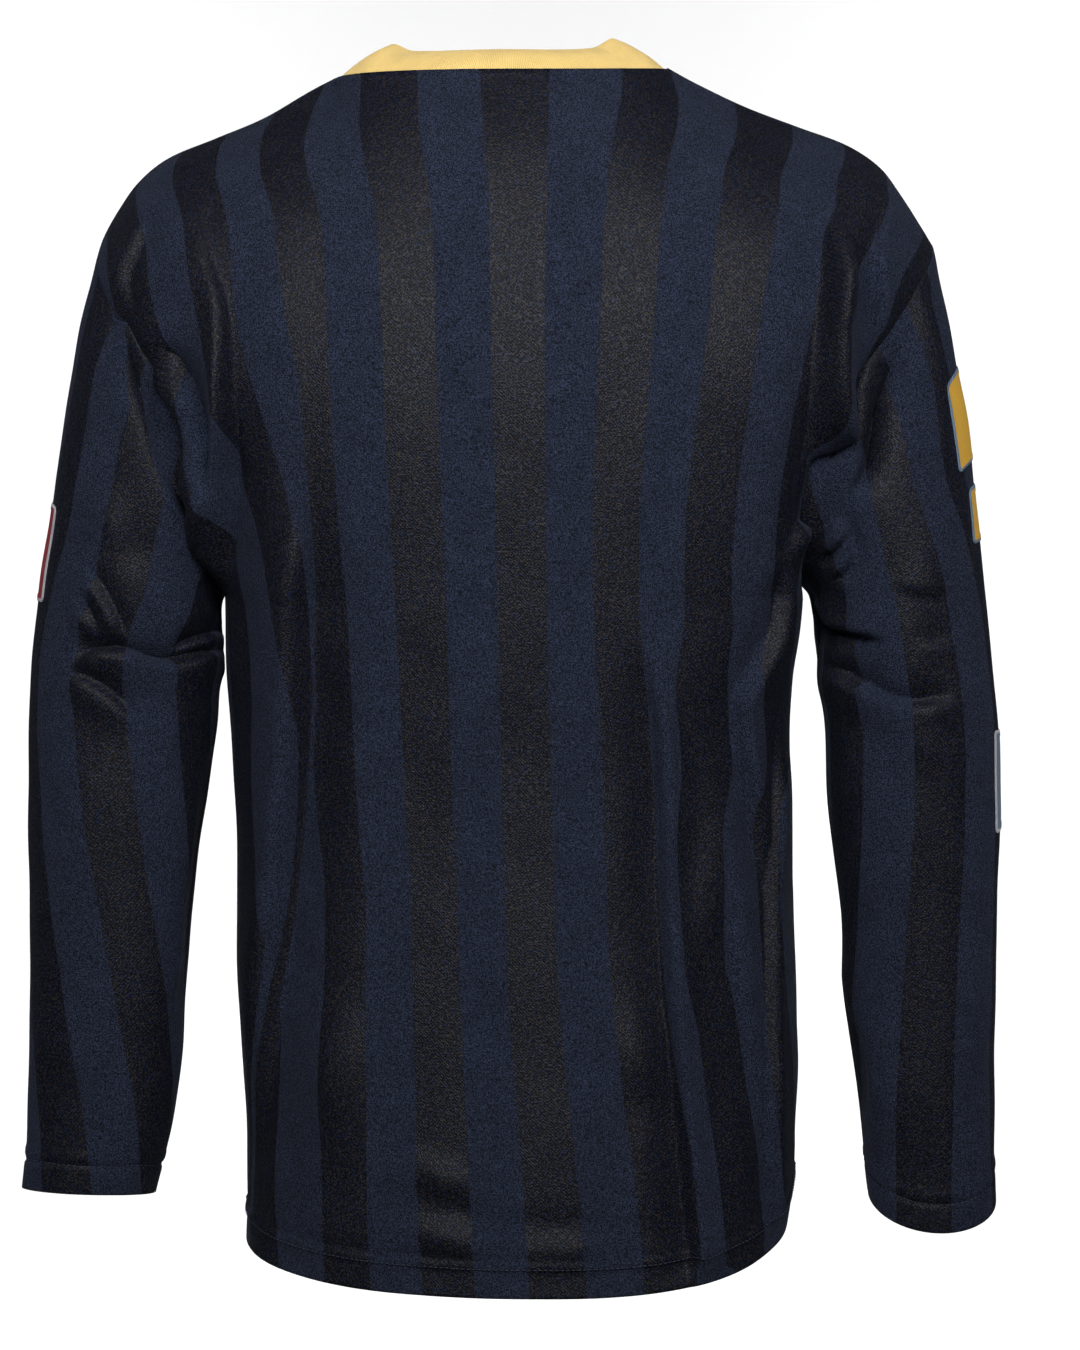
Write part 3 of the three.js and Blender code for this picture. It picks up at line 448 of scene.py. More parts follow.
def armhole_point(side, angle):
    """The armhole: a slanted oval from the shoulder's end (angle 0) to the underarm (half a turn),
    bulged to the back and front by its depth times the sine, and dipping inwards low down."""
    top = seam_row(SHOULDER, side, -1)
    low = seam_row(SIDE_SEAM, side, 0)
    middle = (top + low) / 2
    long = (top - low) / 2
    inwards = unit(np.array([-long[2] * side, 0.0, long[0] * side]))
    depth = np.where(angle > 0, ARMHOLE["back"], ARMHOLE["front"])
    dip = ARMHOLE["dip"] * np.sin(angle) ** 2 * (1 - np.cos(angle)) / 2
    place = middle + long * np.cos(angle)[..., None] + inwards * dip[..., None]
    place[..., 1] += depth * np.sin(angle)
    return place


def panel_edge(face, side, down):
    """The panel's armhole edge and, below the underarm, its side seam."""
    above = armhole_point(side, face * math.pi * np.minimum(down, ARMHOLE_SHARE) / ARMHOLE_SHARE)
    below = along_seam(SIDE_SEAM, "down", side, np.maximum(down, ARMHOLE_SHARE))
    return np.where((down <= ARMHOLE_SHARE)[..., None], above, below)


def panel_top(face, side, across):
    """The panel's top edge: a quarter oval (back) or a V (front) for the neckline, then the
    shoulder seam."""
    along = np.maximum(0.0, (across - NECK_SHARE) / (1 - NECK_SHARE))
    seam = along_seam(SHOULDER, "along", side, along)
    end = seam_row(SHOULDER, side, 0)
    share = np.clip(across / NECK_SHARE, 0.0, 1.0)
    if face == BACK:
        turn = share * math.pi / 2
        neck = spot(
            mix(MIDDLE["x"][0], end[0], np.sin(turn)),
            mix(end[1], MIDDLE["back_y"][0], np.cos(turn)),
            mix(end[2], MIDDLE["back_z"][0], np.cos(turn)),
        )
    else:
        neck = spot(
            mix(MIDDLE["x"][0], end[0], share),
            mix(end[1], MIDDLE["front_y"][0], np.sqrt(1 - share)),
            mix(end[2], MIDDLE["front_z"][0], 1 - share),
        )
    return np.where((across >= NECK_SHARE)[..., None], seam, neck)


def on_row(face, side, across, down):
    """A row of the panel: a rounded oval from the panel's middle round to its edge."""
    name = "back" if face == BACK else "front"
    edge = panel_edge(face, side, down)
    reach = np.sin(across * math.pi / 2)
    roundness = smooth(MIDDLE, "down", "roundness", down)
    bulge = np.maximum(0.0, 1 - reach**roundness) ** (1 / roundness)
    return spot(
        mix(smooth(MIDDLE, "down", "x", down), edge[..., 0], reach),
        mix(edge[..., 1], smooth(MIDDLE, "down", name + "_y", down), bulge),
        mix(smooth(MIDDLE, "down", name + "_z", down), edge[..., 2], across**ROW_DROP),
    )


def top_change(face, side, across):
    """How far the top edge lies from where the first row's oval would put it."""
    return panel_top(face, side, across) - on_row(face, side, across, np.zeros_like(across))


def half_panel(face, side, across, down):
    """One half of a panel: its row's oval, plus the top edge's change, which dies away down the
    panel and spreads sideways as it does."""
    near = np.maximum(0.0, 1 - down / TOP_REACH[face])
    spread = CORNER_SPREAD * (1 - near) * across * (1 - across)
    change = (
        2 * top_change(face, side, across)
        + top_change(face, side, across - spread)
        + top_change(face, side, across + spread)
    ) / 4
    fast = near ** TOP_FADE[face]
    return on_row(face, side, across, down) + change * np.stack([fast, fast, near], axis=-1)


def panel_form(face, across, down):
    """A body panel before its folds. Across runs from -1 at the wearer's right to 1 at the left,
    down from 0 at the top edge to 1 at the hem."""
    width = np.clip(np.abs(across), 0.0, 1.0)
    left = half_panel(face, LEFT, width, down)
    right = half_panel(face, RIGHT, width, down)
    return np.where((across >= 0)[..., None], left, right)


def sleeve_form(side, turn, down):
    """A sleeve before its folds. Turn runs from -1 to 1, from the underarm by way of the front, the
    outside (0) and the back. Each ring is an oval between its outer and inner point; near the
    armhole it takes on the armhole's own shape."""
    table = dict(SLEEVES[side])
    table["down"] = np.linspace(0, 1, len(table["y"]))
    ring = {column: smooth(table, "down", column, down) for column in table if column != "down"}
    angle = turn * math.pi
    outwards = (1 + np.cos(angle)) / 2
    place = spot(
        mix(ring["inner_x"], ring["outer_x"], outwards),
        ring["y"] + np.where(angle > 0, ring["back"], ring["front"]) * np.sin(angle),
        mix(ring["inner_z"], ring["outer_z"], outwards) - ring["drop"] * np.sin(angle),
    )
    first = {column: table[column][0] for column in table}
    straight = spot(
        mix(first["inner_x"], first["outer_x"], outwards),
        first["y"] + np.where(angle > 0, first["back"], first["front"]) * np.sin(angle),
        mix(first["inner_z"], first["outer_z"], outwards),
    )
    settle = np.maximum(0.0, 1 - down / SETTLE_SHARE) ** 2
    return place + (armhole_point(side, angle) - straight) * settle[..., None]


# ---- normals ----------------------------------------------------------------------------------
def form_normal(form, a, b, outwards):
    """Normals of a form by central differences of its two shares; outwards is 1 or -1."""
    across = form(a + NORMAL_STEP, b) - form(a - NORMAL_STEP, b)
    along = form(a, b + NORMAL_STEP) - form(a, b - NORMAL_STEP)
    return unit(np.cross(across, along)) * outwards


def panel_normal(face, across, down):
    """Normals of a body panel's form, outwards."""
    inner = np.clip(across, -1 + NORMAL_STEP, 1 - NORMAL_STEP)
    low = np.clip(down, NORMAL_STEP, 1.0)
    return form_normal(lambda a, b: panel_form(face, a, b), inner, low, -face)


def sleeve_normal(side, turn, down):
    """Normals of a sleeve's form, outwards."""
    low = np.clip(down, NORMAL_STEP, 1.0)
    return form_normal(lambda a, b: sleeve_form(side, a, b), turn, low, -side)


def armhole_normal(side, angle):
    """Normal that the sleeve and the panel share along the armhole."""
    face = np.where(angle >= 0, BACK, FRONT)
    down = np.abs(angle) / math.pi * ARMHOLE_SHARE
    edge = np.full_like(down, float(side))
    back = panel_normal(BACK, edge, down)
    front = panel_normal(FRONT, edge, down)
    panel = np.where((face == BACK)[..., None], back, front)
    sleeve = sleeve_normal(side, angle / math.pi, np.zeros_like(angle))
    return unit(panel + sleeve)


# ---- shape of the folds -----------------------------------------------------------------------
def curve_through(points):
    """A smooth line through the points: a Hermite curve whose slopes join each one's neighbours."""
    spots = np.asarray(points, float)
    table = {"at": np.arange(len(spots)), "x": spots[:, 0], "z": spots[:, 1]}
    at = np.linspace(0, len(spots) - 1, (len(spots) - 1) * CURVE_STEPS + 1)
    return np.stack([smooth(table, "at", "x", at), smooth(table, "at", "z", at)], axis=-1)


def beside_line(line, x, z):
    """For each point: its distance from the line, positive on the left of a line that runs down or
    above one that runs across towards the left, how far along the line it lies, and the unit
    vector that points to the positive side."""
    nearest = np.full(x.shape, np.inf)
    aside = np.zeros_like(x)
    along = np.zeros_like(x)
    across = np.zeros(x.shape + (2,))
    travelled = 0.0
    for (ax, az), (bx, bz) in zip(line[:-1], line[1:]):
        length = math.hypot(bx - ax, bz - az)
        tx, tz = (bx - ax) / length, (bz - az) / length
        at = (x - ax) * tx + (z - az) * tz
        clamped = np.clip(at, 0, length)
        dx, dz = x - ax - tx * clamped, z - az - tz * clamped
        distance = np.hypot(dx, dz)
        closer = distance < nearest
        nearest = np.where(closer, distance, nearest)
        sign = np.where(dz * tx - dx * tz < 0, -1.0, 1.0)
        aside = np.where(closer, sign * distance, aside)
        along = np.where(closer, travelled + at, along)
        across[closer] = (-tz, tx)
        travelled += length
    return aside, along, travelled, across


def bell(d, width):
    """1 where d is 0, dying away on both sides: exp(-(d / width)^2)."""
    return np.exp(-((d / width) ** 2))


def fold_profile(d, fold):
    """Height of a fold at a distance d beyond its crest: a rounded back, a steep wall and a valley
    that comes up slowly."""
    back = bell(d, FOLD_BACK * fold.width)
    wall = bell(d, FOLD_WALL * fold.width)
    valley = bell(d, FOLD_VALLEY * fold.width)
    beyond = fold.rise * wall - fold.sink * (1 - wall) * valley
    return np.where(d < 0, fold.rise * back, beyond)


def facing(face, y):
    """1 on the fold's own side of the garment and 0 on the other."""
    return ease(face * y / FACE_BLEND + 0.5)


def fold_taper(fold, along, total):
    """How much of a fold is left at each distance along it, as it dies away towards its ends."""
    return ease(along / fold.start + FOLD_STUB) * ease((total - along) / fold.end + FOLD_STUB)


def hidden_cloth(fold, x, z, toward):
    """How much cloth a fold hides before each point: its tuck, tapered, once past its crest."""
    aside, along, total, _ = beside_line(curve_through(fold.line), x, z)
    return fold.tuck * fold_taper(fold, along, total) * ease(aside * toward / TUCK_WIDTH + TUCK_LEAD)


def fold_move(place, normal, part, side, to_armhole):
    """How folds and dents move the cloth: along its normal by their height, and across the fold by
    its lean. Part is body or sleeve, and side the sleeve's side or 0. Only folds on both parts
    cross the armhole's seam."""
    own = ease(to_armhole / ARMHOLE_CALM)
    x, y, z = place[..., 0], place[..., 1], place[..., 2]
    height = np.zeros_like(x)
    lean = np.zeros(place.shape)
    for fold in FOLDS:
        if fold.on not in (part, BOTH) or side * fold.line[0][0] < 0:
            continue
        line = curve_through(fold.line)
        reach = FOLD_REACH * fold.width + FOLD_MARGIN
        low, high = line.min(0) - reach, line.max(0) + reach
        near = (x > low[0]) & (x < high[0]) & (z > low[1]) & (z < high[1])
        near &= fold.face * y > -FACE_BLEND
        if not near.any():
            continue
        aside, along, total, across = beside_line(line, x[near], z[near])
        strength = fold_taper(fold, along, total) * facing(fold.face, y[near])
        strength = strength if fold.on == BOTH else strength * own[near]
        d = aside * fold.toward
        height[near] += strength * fold_profile(d, fold)
        push = strength * fold.lean * fold.toward * bell(d, FOLD_BAND * fold.width)
        lean[near, 0] += push * across[:, 0]
        lean[near, 2] += push * across[:, 1]
    for dent in DENTS:
        if dent.on != part or side * dent.x < 0:
            continue
        angle = math.radians(dent.turn)
        dx, dz = x - dent.x, z - dent.z
        long = (dz * math.cos(angle) + dx * math.sin(angle)) / dent.long
        wide = (dx * math.cos(angle) - dz * math.sin(angle)) / dent.wide
        height -= dent.depth * own * facing(dent.face, y) * np.exp(-(long**2) - wide**2)
    height += WAVE_HEIGHT * waves(place)
    lean -= normal * np.sum(lean * normal, axis=-1, keepdims=True)
    return normal * height[..., None] + lean


def waves(place):
    """Slow unevenness: sine waves in set directions, longer up and down than across, the longer
    the higher."""
    rng = np.random.default_rng(7)
    total = np.zeros(place.shape[:-1])
    for _ in range(WAVES):
        length = rng.uniform(WAVE_SHORT, WAVE_LONG)
        direction = unit(rng.normal(size=3) * (1.0, 1.0, 0.45))
        phase = rng.uniform(0, 2 * math.pi)
        total += np.sin(place @ direction * (2 * math.pi / length) + phase) * length / WAVE_LONG
    return total / 2


# ---- cloth of the panels ----------------------------------------------------------------------
def groove(distance):
    """How deep the cloth sinks at a distance from a seam."""
    depth, width = SEAM_GROOVE
    return depth * bell(distance, width)


def hem_step(distance):
    """The turned hem: the cloth is a little prouder below its stitches, dips along them and swells
    above them."""
    above = distance - STITCH_LINE
    depth, dip_width = HEM_DIP
    height, ridge_width, ridge_at = HEM_RIDGE
    band = HEM_PROUD * ease(0.5 - above / HEM_EDGE)
    return band - depth * bell(above, dip_width) + height * bell(above - ridge_at, ridge_width)


def off_underarm(a, b):
    """0 where both distances are 0 and 1 well beyond: 1 less the product of their bells."""
    return 1 - bell(a, UNDERARM_CALM) * bell(b, UNDERARM_CALM)


def body_cloth(face, across, down):
    """A body panel with its folds, seam grooves and hem."""
    place = panel_form(face, across, down)
    own = panel_normal(face, across, down)
    side_edge = np.where(across >= 0, 1.0, -1.0)
    angle = face * math.pi * np.minimum(down, ARMHOLE_SHARE) / ARMHOLE_SHARE
    hole = np.where((across >= 0)[..., None], armhole_normal(LEFT, angle), armhole_normal(RIGHT, angle))
    below = unit(panel_normal(BACK, side_edge, down) + panel_normal(FRONT, side_edge, down))
    seam = np.where((down < ARMHOLE_SHARE)[..., None], hole, below)
    to_side = np.linalg.norm(place - panel_form(face, side_edge, down), axis=-1)
    own = unit(mix(seam, own, ease(to_side / SEAM_BLEND)[..., None]))
    top = panel_form(face, across, np.zeros_like(down))
    to_top = np.linalg.norm(place - top, axis=-1)
    at_neck = ease((NECK_SHARE + NECK_FADE - np.abs(across)) / NECK_FADE)
    calm = ease(to_top / mix(SHOULDER_CALM, TOP_CALM, at_neck))
    calm = calm * off_underarm((down - ARMHOLE_SHARE) * PANEL_LENGTH, to_side)
    to_armhole = to_side + SHARE_BELOW * np.maximum(0, down - ARMHOLE_SHARE)
    moved = fold_move(place, own, BODY, 0, to_armhole) * calm[..., None]
    to_hem = np.linalg.norm(place - panel_form(face, across, np.ones_like(down)), axis=-1)
    sunk = groove(to_side) + groove(to_top) - hem_step(to_hem)
    return place + moved - own * sunk[..., None], to_hem


def sleeve_cloth(side, turn, down):
    """A sleeve with its folds, seam grooves and turned cuff."""
    place = sleeve_form(side, turn, down)
    own = sleeve_normal(side, turn, down)
    seam = armhole_normal(side, turn * math.pi)
    to_top = np.linalg.norm(place - sleeve_form(side, turn, np.zeros_like(down)), axis=-1)
    own = unit(mix(seam, own, ease(to_top / SEAM_BLEND)[..., None]))
    under = (1 - np.abs(turn)) * HALF_GIRTH
    calm = ease((np.abs(turn) * SHOULDER_HALF_GIRTH + to_top) / SHOULDER_CALM)
    calm = calm * off_underarm(to_top, under)
    moved = fold_move(place, own, SLEEVE, side, to_top) * calm[..., None]
    to_cuff = np.linalg.norm(place - sleeve_form(side, turn, np.ones_like(down)), axis=-1)
    sunk = groove(to_top) + groove(under) - hem_step(to_cuff)
    return place + moved - own * sunk[..., None], to_cuff


# ---- patterns ---------------------------------------------------------------------------------
def length_down(place):
    """Length down each column of points from the first, as the running total of their spacing."""
    step = np.linalg.norm(np.diff(place, axis=0), axis=-1)
    return np.concatenate([np.zeros((1, *step.shape[1:])), np.cumsum(step, axis=0)])


def length_up(place):
    """Length up each column of points from the last."""
    return length_down(place[::-1])[::-1]


def arc(place, start):
    """Length along each row of a grid, level with the ground, from the column where it is 0."""
    length = length_down(place[..., :2].swapaxes(0, 1)).T
    return length - length[:, start : start + 1]


def body_pattern(face, place, middle):
    """Where each point of a body panel lies on the flat cloth: across in stripes' widths from its
    centre, and up from the hem. Folds hide the cloth that is tucked into their walls."""
    x, z = place[..., 0], place[..., 2]
    at = {c: smooth(BODY_STRIPES, "drop", c, -z) for c in BODY_STRIPES if c != "drop"}
    run = arc(place, middle) * face - at["shift"]
    left = run > 0
    inner = np.where(left, at["left_inner"], at["right_inner"])
    outer = np.where(left, at["left_outer"], at["right_outer"])
    change = np.where(left, at["left_change"], at["right_change"])
    size = np.abs(run)
    stripes = np.where(size < change * inner, size / inner, change + (size - change * inner) / outer)
    for fold in FOLDS:
        if fold.on != BODY or fold.face != face or not fold.tuck:
            continue
        mine = left == (fold.line[0][0] > 0)
        stripes = stripes + np.where(mine, hidden_cloth(fold, x, z, fold.toward), 0) / STRIPE
    return np.stack([np.where(left, 1, -1) * stripes * STRIPE, length_up(place)], axis=-1)


def sleeve_pattern(side, place, turn):
    """The same for a sleeve: across in stripes' widths from a chosen stripe edge, measured from
    the column on the sleeve's outside."""
    x, z = place[..., 0], place[..., 2]
    table = SLEEVE_STRIPES[side]
    run = arc(place, ARMHOLE_ROWS) * -side
    edge = smooth(table, "drop", "edge", -z)
    width = smooth(table, "drop", "width", -z)
    for fold in FOLDS:
        if fold.on == BODY or not fold.tuck or side * fold.line[0][0] < 0:
            continue
        run = run + np.where(turn * fold.face > 0, hidden_cloth(fold, x, z, -side), 0) * fold.face
    stripes = 1.5 + (run - edge) / width
    return np.stack([stripes * STRIPE, length_up(place)], axis=-1)


# ---- meshes -----------------------------------------------------------------------------------
def grid_faces(rows, columns, rows_join=False, columns_join=False):
    """Quads of a grid of points. Where rows or columns join, the last one meets the first."""
    row, column = np.meshgrid(
        np.arange(rows if rows_join else rows - 1),
        np.arange(columns if columns_join else columns - 1),
        indexing="ij",
    )
    here, below = row * columns, (row + 1) % rows * columns
    beside = (column + 1) % columns
    corners = [here + column, below + column, below + beside, here + beside]
    return np.stack(corners, axis=-1).reshape(-1, 4)


def make_mesh(name, points, faces, uv, material):
    """A smooth mesh object from points in millimetres. The UV map, in metres of cloth, is given for
    each point or for each corner of each face, or is None."""
    mesh = bpy.data.meshes.new(name)
    points = np.asarray(points, float).reshape(-1, 3) * MM
    faces = np.asarray(faces, int)
    mesh.vertices.add(len(points))
    mesh.vertices.foreach_set("co", points.ravel())
    mesh.loops.add(faces.size)
    mesh.loops.foreach_set("vertex_index", faces.ravel())
    mesh.polygons.add(len(faces))
    mesh.polygons.foreach_set("loop_start", np.arange(len(faces)) * faces.shape[1])
    mesh.update(calc_edges=True)
    if uv is not None:
        layer = mesh.uv_layers.new(name="cloth")
        flat = np.asarray(uv, float).reshape(-1, 2) * MM
        corners = flat if len(flat) == faces.size else flat[faces.ravel()]
        layer.data.foreach_set("uv", corners.ravel())
    mesh.polygons.foreach_set("use_smooth", np.ones(len(faces), bool))
    mesh.materials.append(material)
    mesh.validate()
    piece = bpy.data.objects.new(name, mesh)
    bpy.context.scene.collection.objects.link(piece)
    return piece


def steps(start, end, count):
    """Values from start to end in equal steps."""
    return np.linspace(start, end, count + 1)


def body_rows():
    """Shares down a body panel: even above the underarm, closer at the hem's stitching."""
    above = steps(0, ARMHOLE_SHARE, ARMHOLE_ROWS)
    below = steps(ARMHOLE_SHARE, HEM_SHARE, SIDE_ROWS)
    hem = steps(HEM_SHARE, 1.0, HEM_ROWS)
    return np.concatenate([above, below[1:], hem[1:]])


def body_columns():
    """Shares across a body panel, closer together at the seams at its two sides."""
    inner = steps(0, NECK_SHARE, NECK_COLUMNS)
    outer = steps(NECK_SHARE, 1, SHOULDER_COLUMNS)[:-1]
    half = np.concatenate([inner, outer[1:], SEAM_COLUMNS])
    return np.concatenate([-half[:0:-1], half])


def draw_back(edge, inner):
    """Moves an edge's points by half the seam's gap, towards those next to them."""
    edge += unit(inner - edge) * SEAM_GAP / 2


def add_wall(piece, thickness):
    """Gives a sheet its wall, on the side that its faces look away from."""
    wall = piece.modifiers.new("wall", "SOLIDIFY")
    wall.thickness = thickness * MM
    wall.offset = -1


def finish_sheet(piece, node, sizes):
    """Gives a panel of cloth its wall, hangs it from the root and hides the part it stands for. Its faces
    look at the hollow, so the wall grows outwards."""
    add_wall(piece, in_mm(sizes.cloth_wall))
    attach(piece, "root")
    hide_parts(node)


def stitching(name, place, to_edge, sizes):
    """A row of stitches along a grid's turned edge: short threads that taper at both ends, lying in
    the groove that they pull in the cloth. The row is where the distance to the edge is that of
    the stitches, in a straight line between the two nearest points of each column."""
    row = np.argmax(to_edge <= STITCH_LINE, axis=0)
    column = np.arange(place.shape[1])
    above, below = to_edge[row - 1, column], to_edge[row, column]
    share = (above - STITCH_LINE) / (above - below)
    line = mix(place[row - 1, column], place[row, column], share[:, None])
    down = unit(place[row, column] - place[row - 1, column])
    run = length_down(line)
    at = (np.arange(int(run[-1] / STITCH_PITCH)) + 0.5) * STITCH_PITCH

    def along(values, where):
        return np.stack([np.interp(where, run, values[:, axis]) for axis in range(3)], axis=-1)

    ahead = unit(along(line, at + STITCH_GRIP) - along(line, at - STITCH_GRIP))
    fall = along(down, at)
    out = unit(np.cross(ahead, fall))
    proud = in_mm(sizes.cloth_wall) + STITCH_PROUD
    rings = []
    for share, thick in STITCH_RINGS:
        middle = along(line, at) + ahead * share * STITCH_LONG + out * proud
        for turn in (0.25, 0.75, 1.25, 1.75):
            side = fall * math.cos(turn * math.pi) + out * math.sin(turn * math.pi)
            rings.append(middle + side * STITCH_THICK * thick)
    faces = [
        (ring + k, ring + (k + 1) % 4, ring + 4 + (k + 1) % 4, ring + 4 + k)
        for ring in (0, 4, 8)
        for k in range(4)
    ]
    faces += [(3, 2, 1, 0), (12, 13, 14, 15)]
    faces = np.array(faces)[None] + 16 * np.arange(len(at))[:, None, None]
    thread = bpy.data.materials["sewing_thread"]
    piece = make_mesh(name, np.stack(rings, axis=1), faces.reshape(-1, 4), None, thread)
    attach(piece, "root")


def body_piece(face, name, sizes):
    """A body panel as a mesh object, with its hem's stitches."""
    columns = body_columns()
    if face == FRONT:
        columns = columns[::-1]
    down, across = np.meshgrid(body_rows(), columns, indexing="ij")
    place, to_hem = body_cloth(face, across, down)
    stitching(name + "_stitches", place, to_hem, sizes)
    middle = int(np.argmin(np.abs(columns)))
    pattern = body_pattern(face, panel_form(face, across, down), middle)
    draw_back(place[:, 0], place[:, 1])
    draw_back(place[:, -1], place[:, -2])
    draw_back(place[0], place[1])
    faces = grid_faces(*down.shape)
    return make_mesh(name, place, faces, pattern, bpy.data.materials["striped_cloth"])


def sleeve_piece(side, name, sizes):
    """A sleeve as a mesh object, with its cuff's stitches: a tube whose columns match the rows of
    the panels' armholes. Its first and last column are one, but differ in the UV map."""
    half = steps(0, 1, ARMHOLE_ROWS)
    turn = np.concatenate([-half[:0:-1], half]) * -side
    upper = steps(0, CUFF_SHARE, SLEEVE_ROWS)
    cuff = steps(CUFF_SHARE, 1.0, CUFF_ROWS)
    down, turns = np.meshgrid(np.concatenate([upper, cuff[1:]]), turn, indexing="ij")
    place, to_cuff = sleeve_cloth(side, turns, down)
    stitching(name + "_stitches", place, to_cuff, sizes)
    pattern = sleeve_pattern(side, sleeve_form(side, turns, down), turns)
    draw_back(place[0], place[1])
    corners = grid_faces(*down.shape)
    uv = pattern.reshape(-1, 2)[corners.ravel()]
    faces = grid_faces(len(down), len(turn) - 1, columns_join=True)
    return make_mesh(name, place[:, :-1], faces, uv, bpy.data.materials["striped_cloth"])


def neckline():
    """The neckline as a closed line from the wearer's right round the back, and home by the front:
    its points, which face of the garment each is on, and how far round it is from the back's
    middle (0) to the front's (1)."""
    run = steps(-1, 1, 2 * COLLAR_COLUMNS)
    share = np.abs(run)
    parts = []
    for face, order in ((BACK, slice(None)), (FRONT, slice(-2, 0, -1))):
        left = panel_top(face, LEFT, share * NECK_SHARE)
        right = panel_top(face, RIGHT, share * NECK_SHARE)
        foot = np.where((run >= 0)[:, None], left, right)
        turn = share / 2 if face == BACK else 1 - share / 2
        parts.append((foot[order], np.full(share.shape, face)[order], turn[order]))
    return [np.concatenate(part) for part in zip(*parts)]


def collar_piece(name, wall, material):
    """The collar: a band that follows the neckline, its cross-section a flattened loop. The band
    leans towards the neck's centre as it rises, and its upper edge is half a circle."""
    foot, face, turn = neckline()
    rise = smooth(COLLAR_RISE, "round", "rise", turn)

    def band(up):
        lean = mix(1, COLLAR_LEAN, up)
        deep = np.where(face == BACK, lean, mix(1, COLLAR_FRONT_LEAN, up))
        return spot(
            mix(COLLAR_CENTRE[0], foot[:, 0], lean),
            mix(COLLAR_CENTRE[1], foot[:, 1], deep),
            foot[:, 2] + rise * up + COLLAR_BULGE * math.sin(up * math.pi),
        )

    outer = np.array([band(up) for up in steps(0.0, 1.0, COLLAR_ROWS)])
    along = np.roll(outer, -1, axis=1) - np.roll(outer, 1, axis=1)
    upwards = np.gradient(outer, axis=0)
    outwards = unit(np.cross(upwards, along))
    inner = outer - outwards * wall
    tip = []
    for angle in steps(0, math.pi, COLLAR_TIP_ROWS)[1:-1]:
        inwards = outwards[-1] * wall / 2 * (1 - math.cos(angle))
        tip.append(outer[-1] - inwards + unit(upwards[-1]) * wall / 2 * math.sin(angle))
    loop = np.concatenate([outer, np.array(tip), inner[::-1]])
    length, girth = length_down(outer[0]), length_down(loop[:, 0])
    uv = np.stack(np.broadcast_arrays(length[None, :], girth[:, None]), axis=-1)
    faces = grid_faces(*loop.shape[:2], rows_join=True, columns_join=True)
    return make_mesh(name, loop, faces, uv, material)


def round_corners(x, y, wide, long):
    """Squeezes a rectangle's corners to arcs: beyond a corner's centre a point keeps its direction
    and takes the larger of its two distances as its radius."""
    inner_x, inner_y = wide / 2 - PATCH_CORNER, long / 2 - PATCH_CORNER
    over_x, over_y = np.abs(x) - inner_x, np.abs(y) - inner_y
    corner = (over_x > 0) & (over_y > 0)
    radius = np.maximum(over_x, over_y)
    length = np.maximum(np.hypot(over_x, over_y), 1e-6)
    return (
        np.where(corner, np.sign(x) * (inner_x + over_x * radius / length), x),
        np.where(corner, np.sign(y) * (inner_y + over_y * radius / length), y),
    )


def patch_piece(patch, sizes, material):
    """A patch of woven cloth on a sleeve, between two shares of its length and two of its girth,
    with round corners and an overstitched border that stands proud: across the border its height
    is half an ellipse."""

    def on_sleeve(u, v):
        turn = mix(2 * patch.first - 1, 2 * patch.last - 1, u) * -patch.side
        down = mix(patch.start, patch.end, v)
        return sleeve_cloth(patch.side, turn, down)[0], sleeve_normal(patch.side, turn, down)

    v, u = np.meshgrid(steps(0, 1, PATCH_ROWS), steps(0, 1, PATCH_COLUMNS), indexing="ij")
    base, _ = on_sleeve(u, v)
    wide = np.linalg.norm(np.diff(base, axis=1), axis=-1).sum(1).mean()
    long = np.linalg.norm(np.diff(base, axis=0), axis=-1).sum(0).mean()
    x, y = (u - 0.5) * wide, (v - 0.5) * long
    edge = np.minimum(wide / 2 - np.abs(x), long / 2 - np.abs(y))
    x, y = round_corners(x, y, wide, long)
    base, normal = on_sleeve(x / wide + 0.5, y / long + 0.5)
    rim = np.clip(edge / PATCH_BORDER, 0, 2) - 1
    lift = BORDER_RISE * np.sqrt(np.maximum(0, 1 - rim**2)) + FACE_RISE * ease(rim)
    patch_wall = in_mm(sizes.patch_wall)
    level = in_mm(sizes.cloth_wall) - PATCH_SINK + patch_wall
    place = base + normal * (level + lift)[..., None]
    faces = grid_faces(*u.shape)[:, ::-1]
    piece = make_mesh(patch.name, place, faces, np.stack([x, y], axis=-1), material)
    border = piece.data.attributes.new("edge", "FLOAT", "POINT")
    border.data.foreach_set("value", (edge * MM).ravel())
    add_wall(piece, patch_wall)
    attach(piece, "root")
    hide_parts(patch.node)
    return piece


# ---- materials --------------------------------------------------------------------------------
# distances in metres, measured across the cloth, from one rib, thread or loop to the next
TWILL = 0.0021
KNIT_RIB, KNIT_LOOP = 0.0012, 0.0011
WEAVE, BORDER_THREAD = 0.0009, 0.0006
BORDER_EDGE = (0.0019, 0.0021)  # from a patch's edge, where its border ends
NAVY_EDGE = (0.485, 0.515)  # where a stripe's wave turns from black to navy
BROWN_SPECK = (0.026, 0.021, 0.019)
BLUE_SPECK = (0.007, 0.013, 0.036)


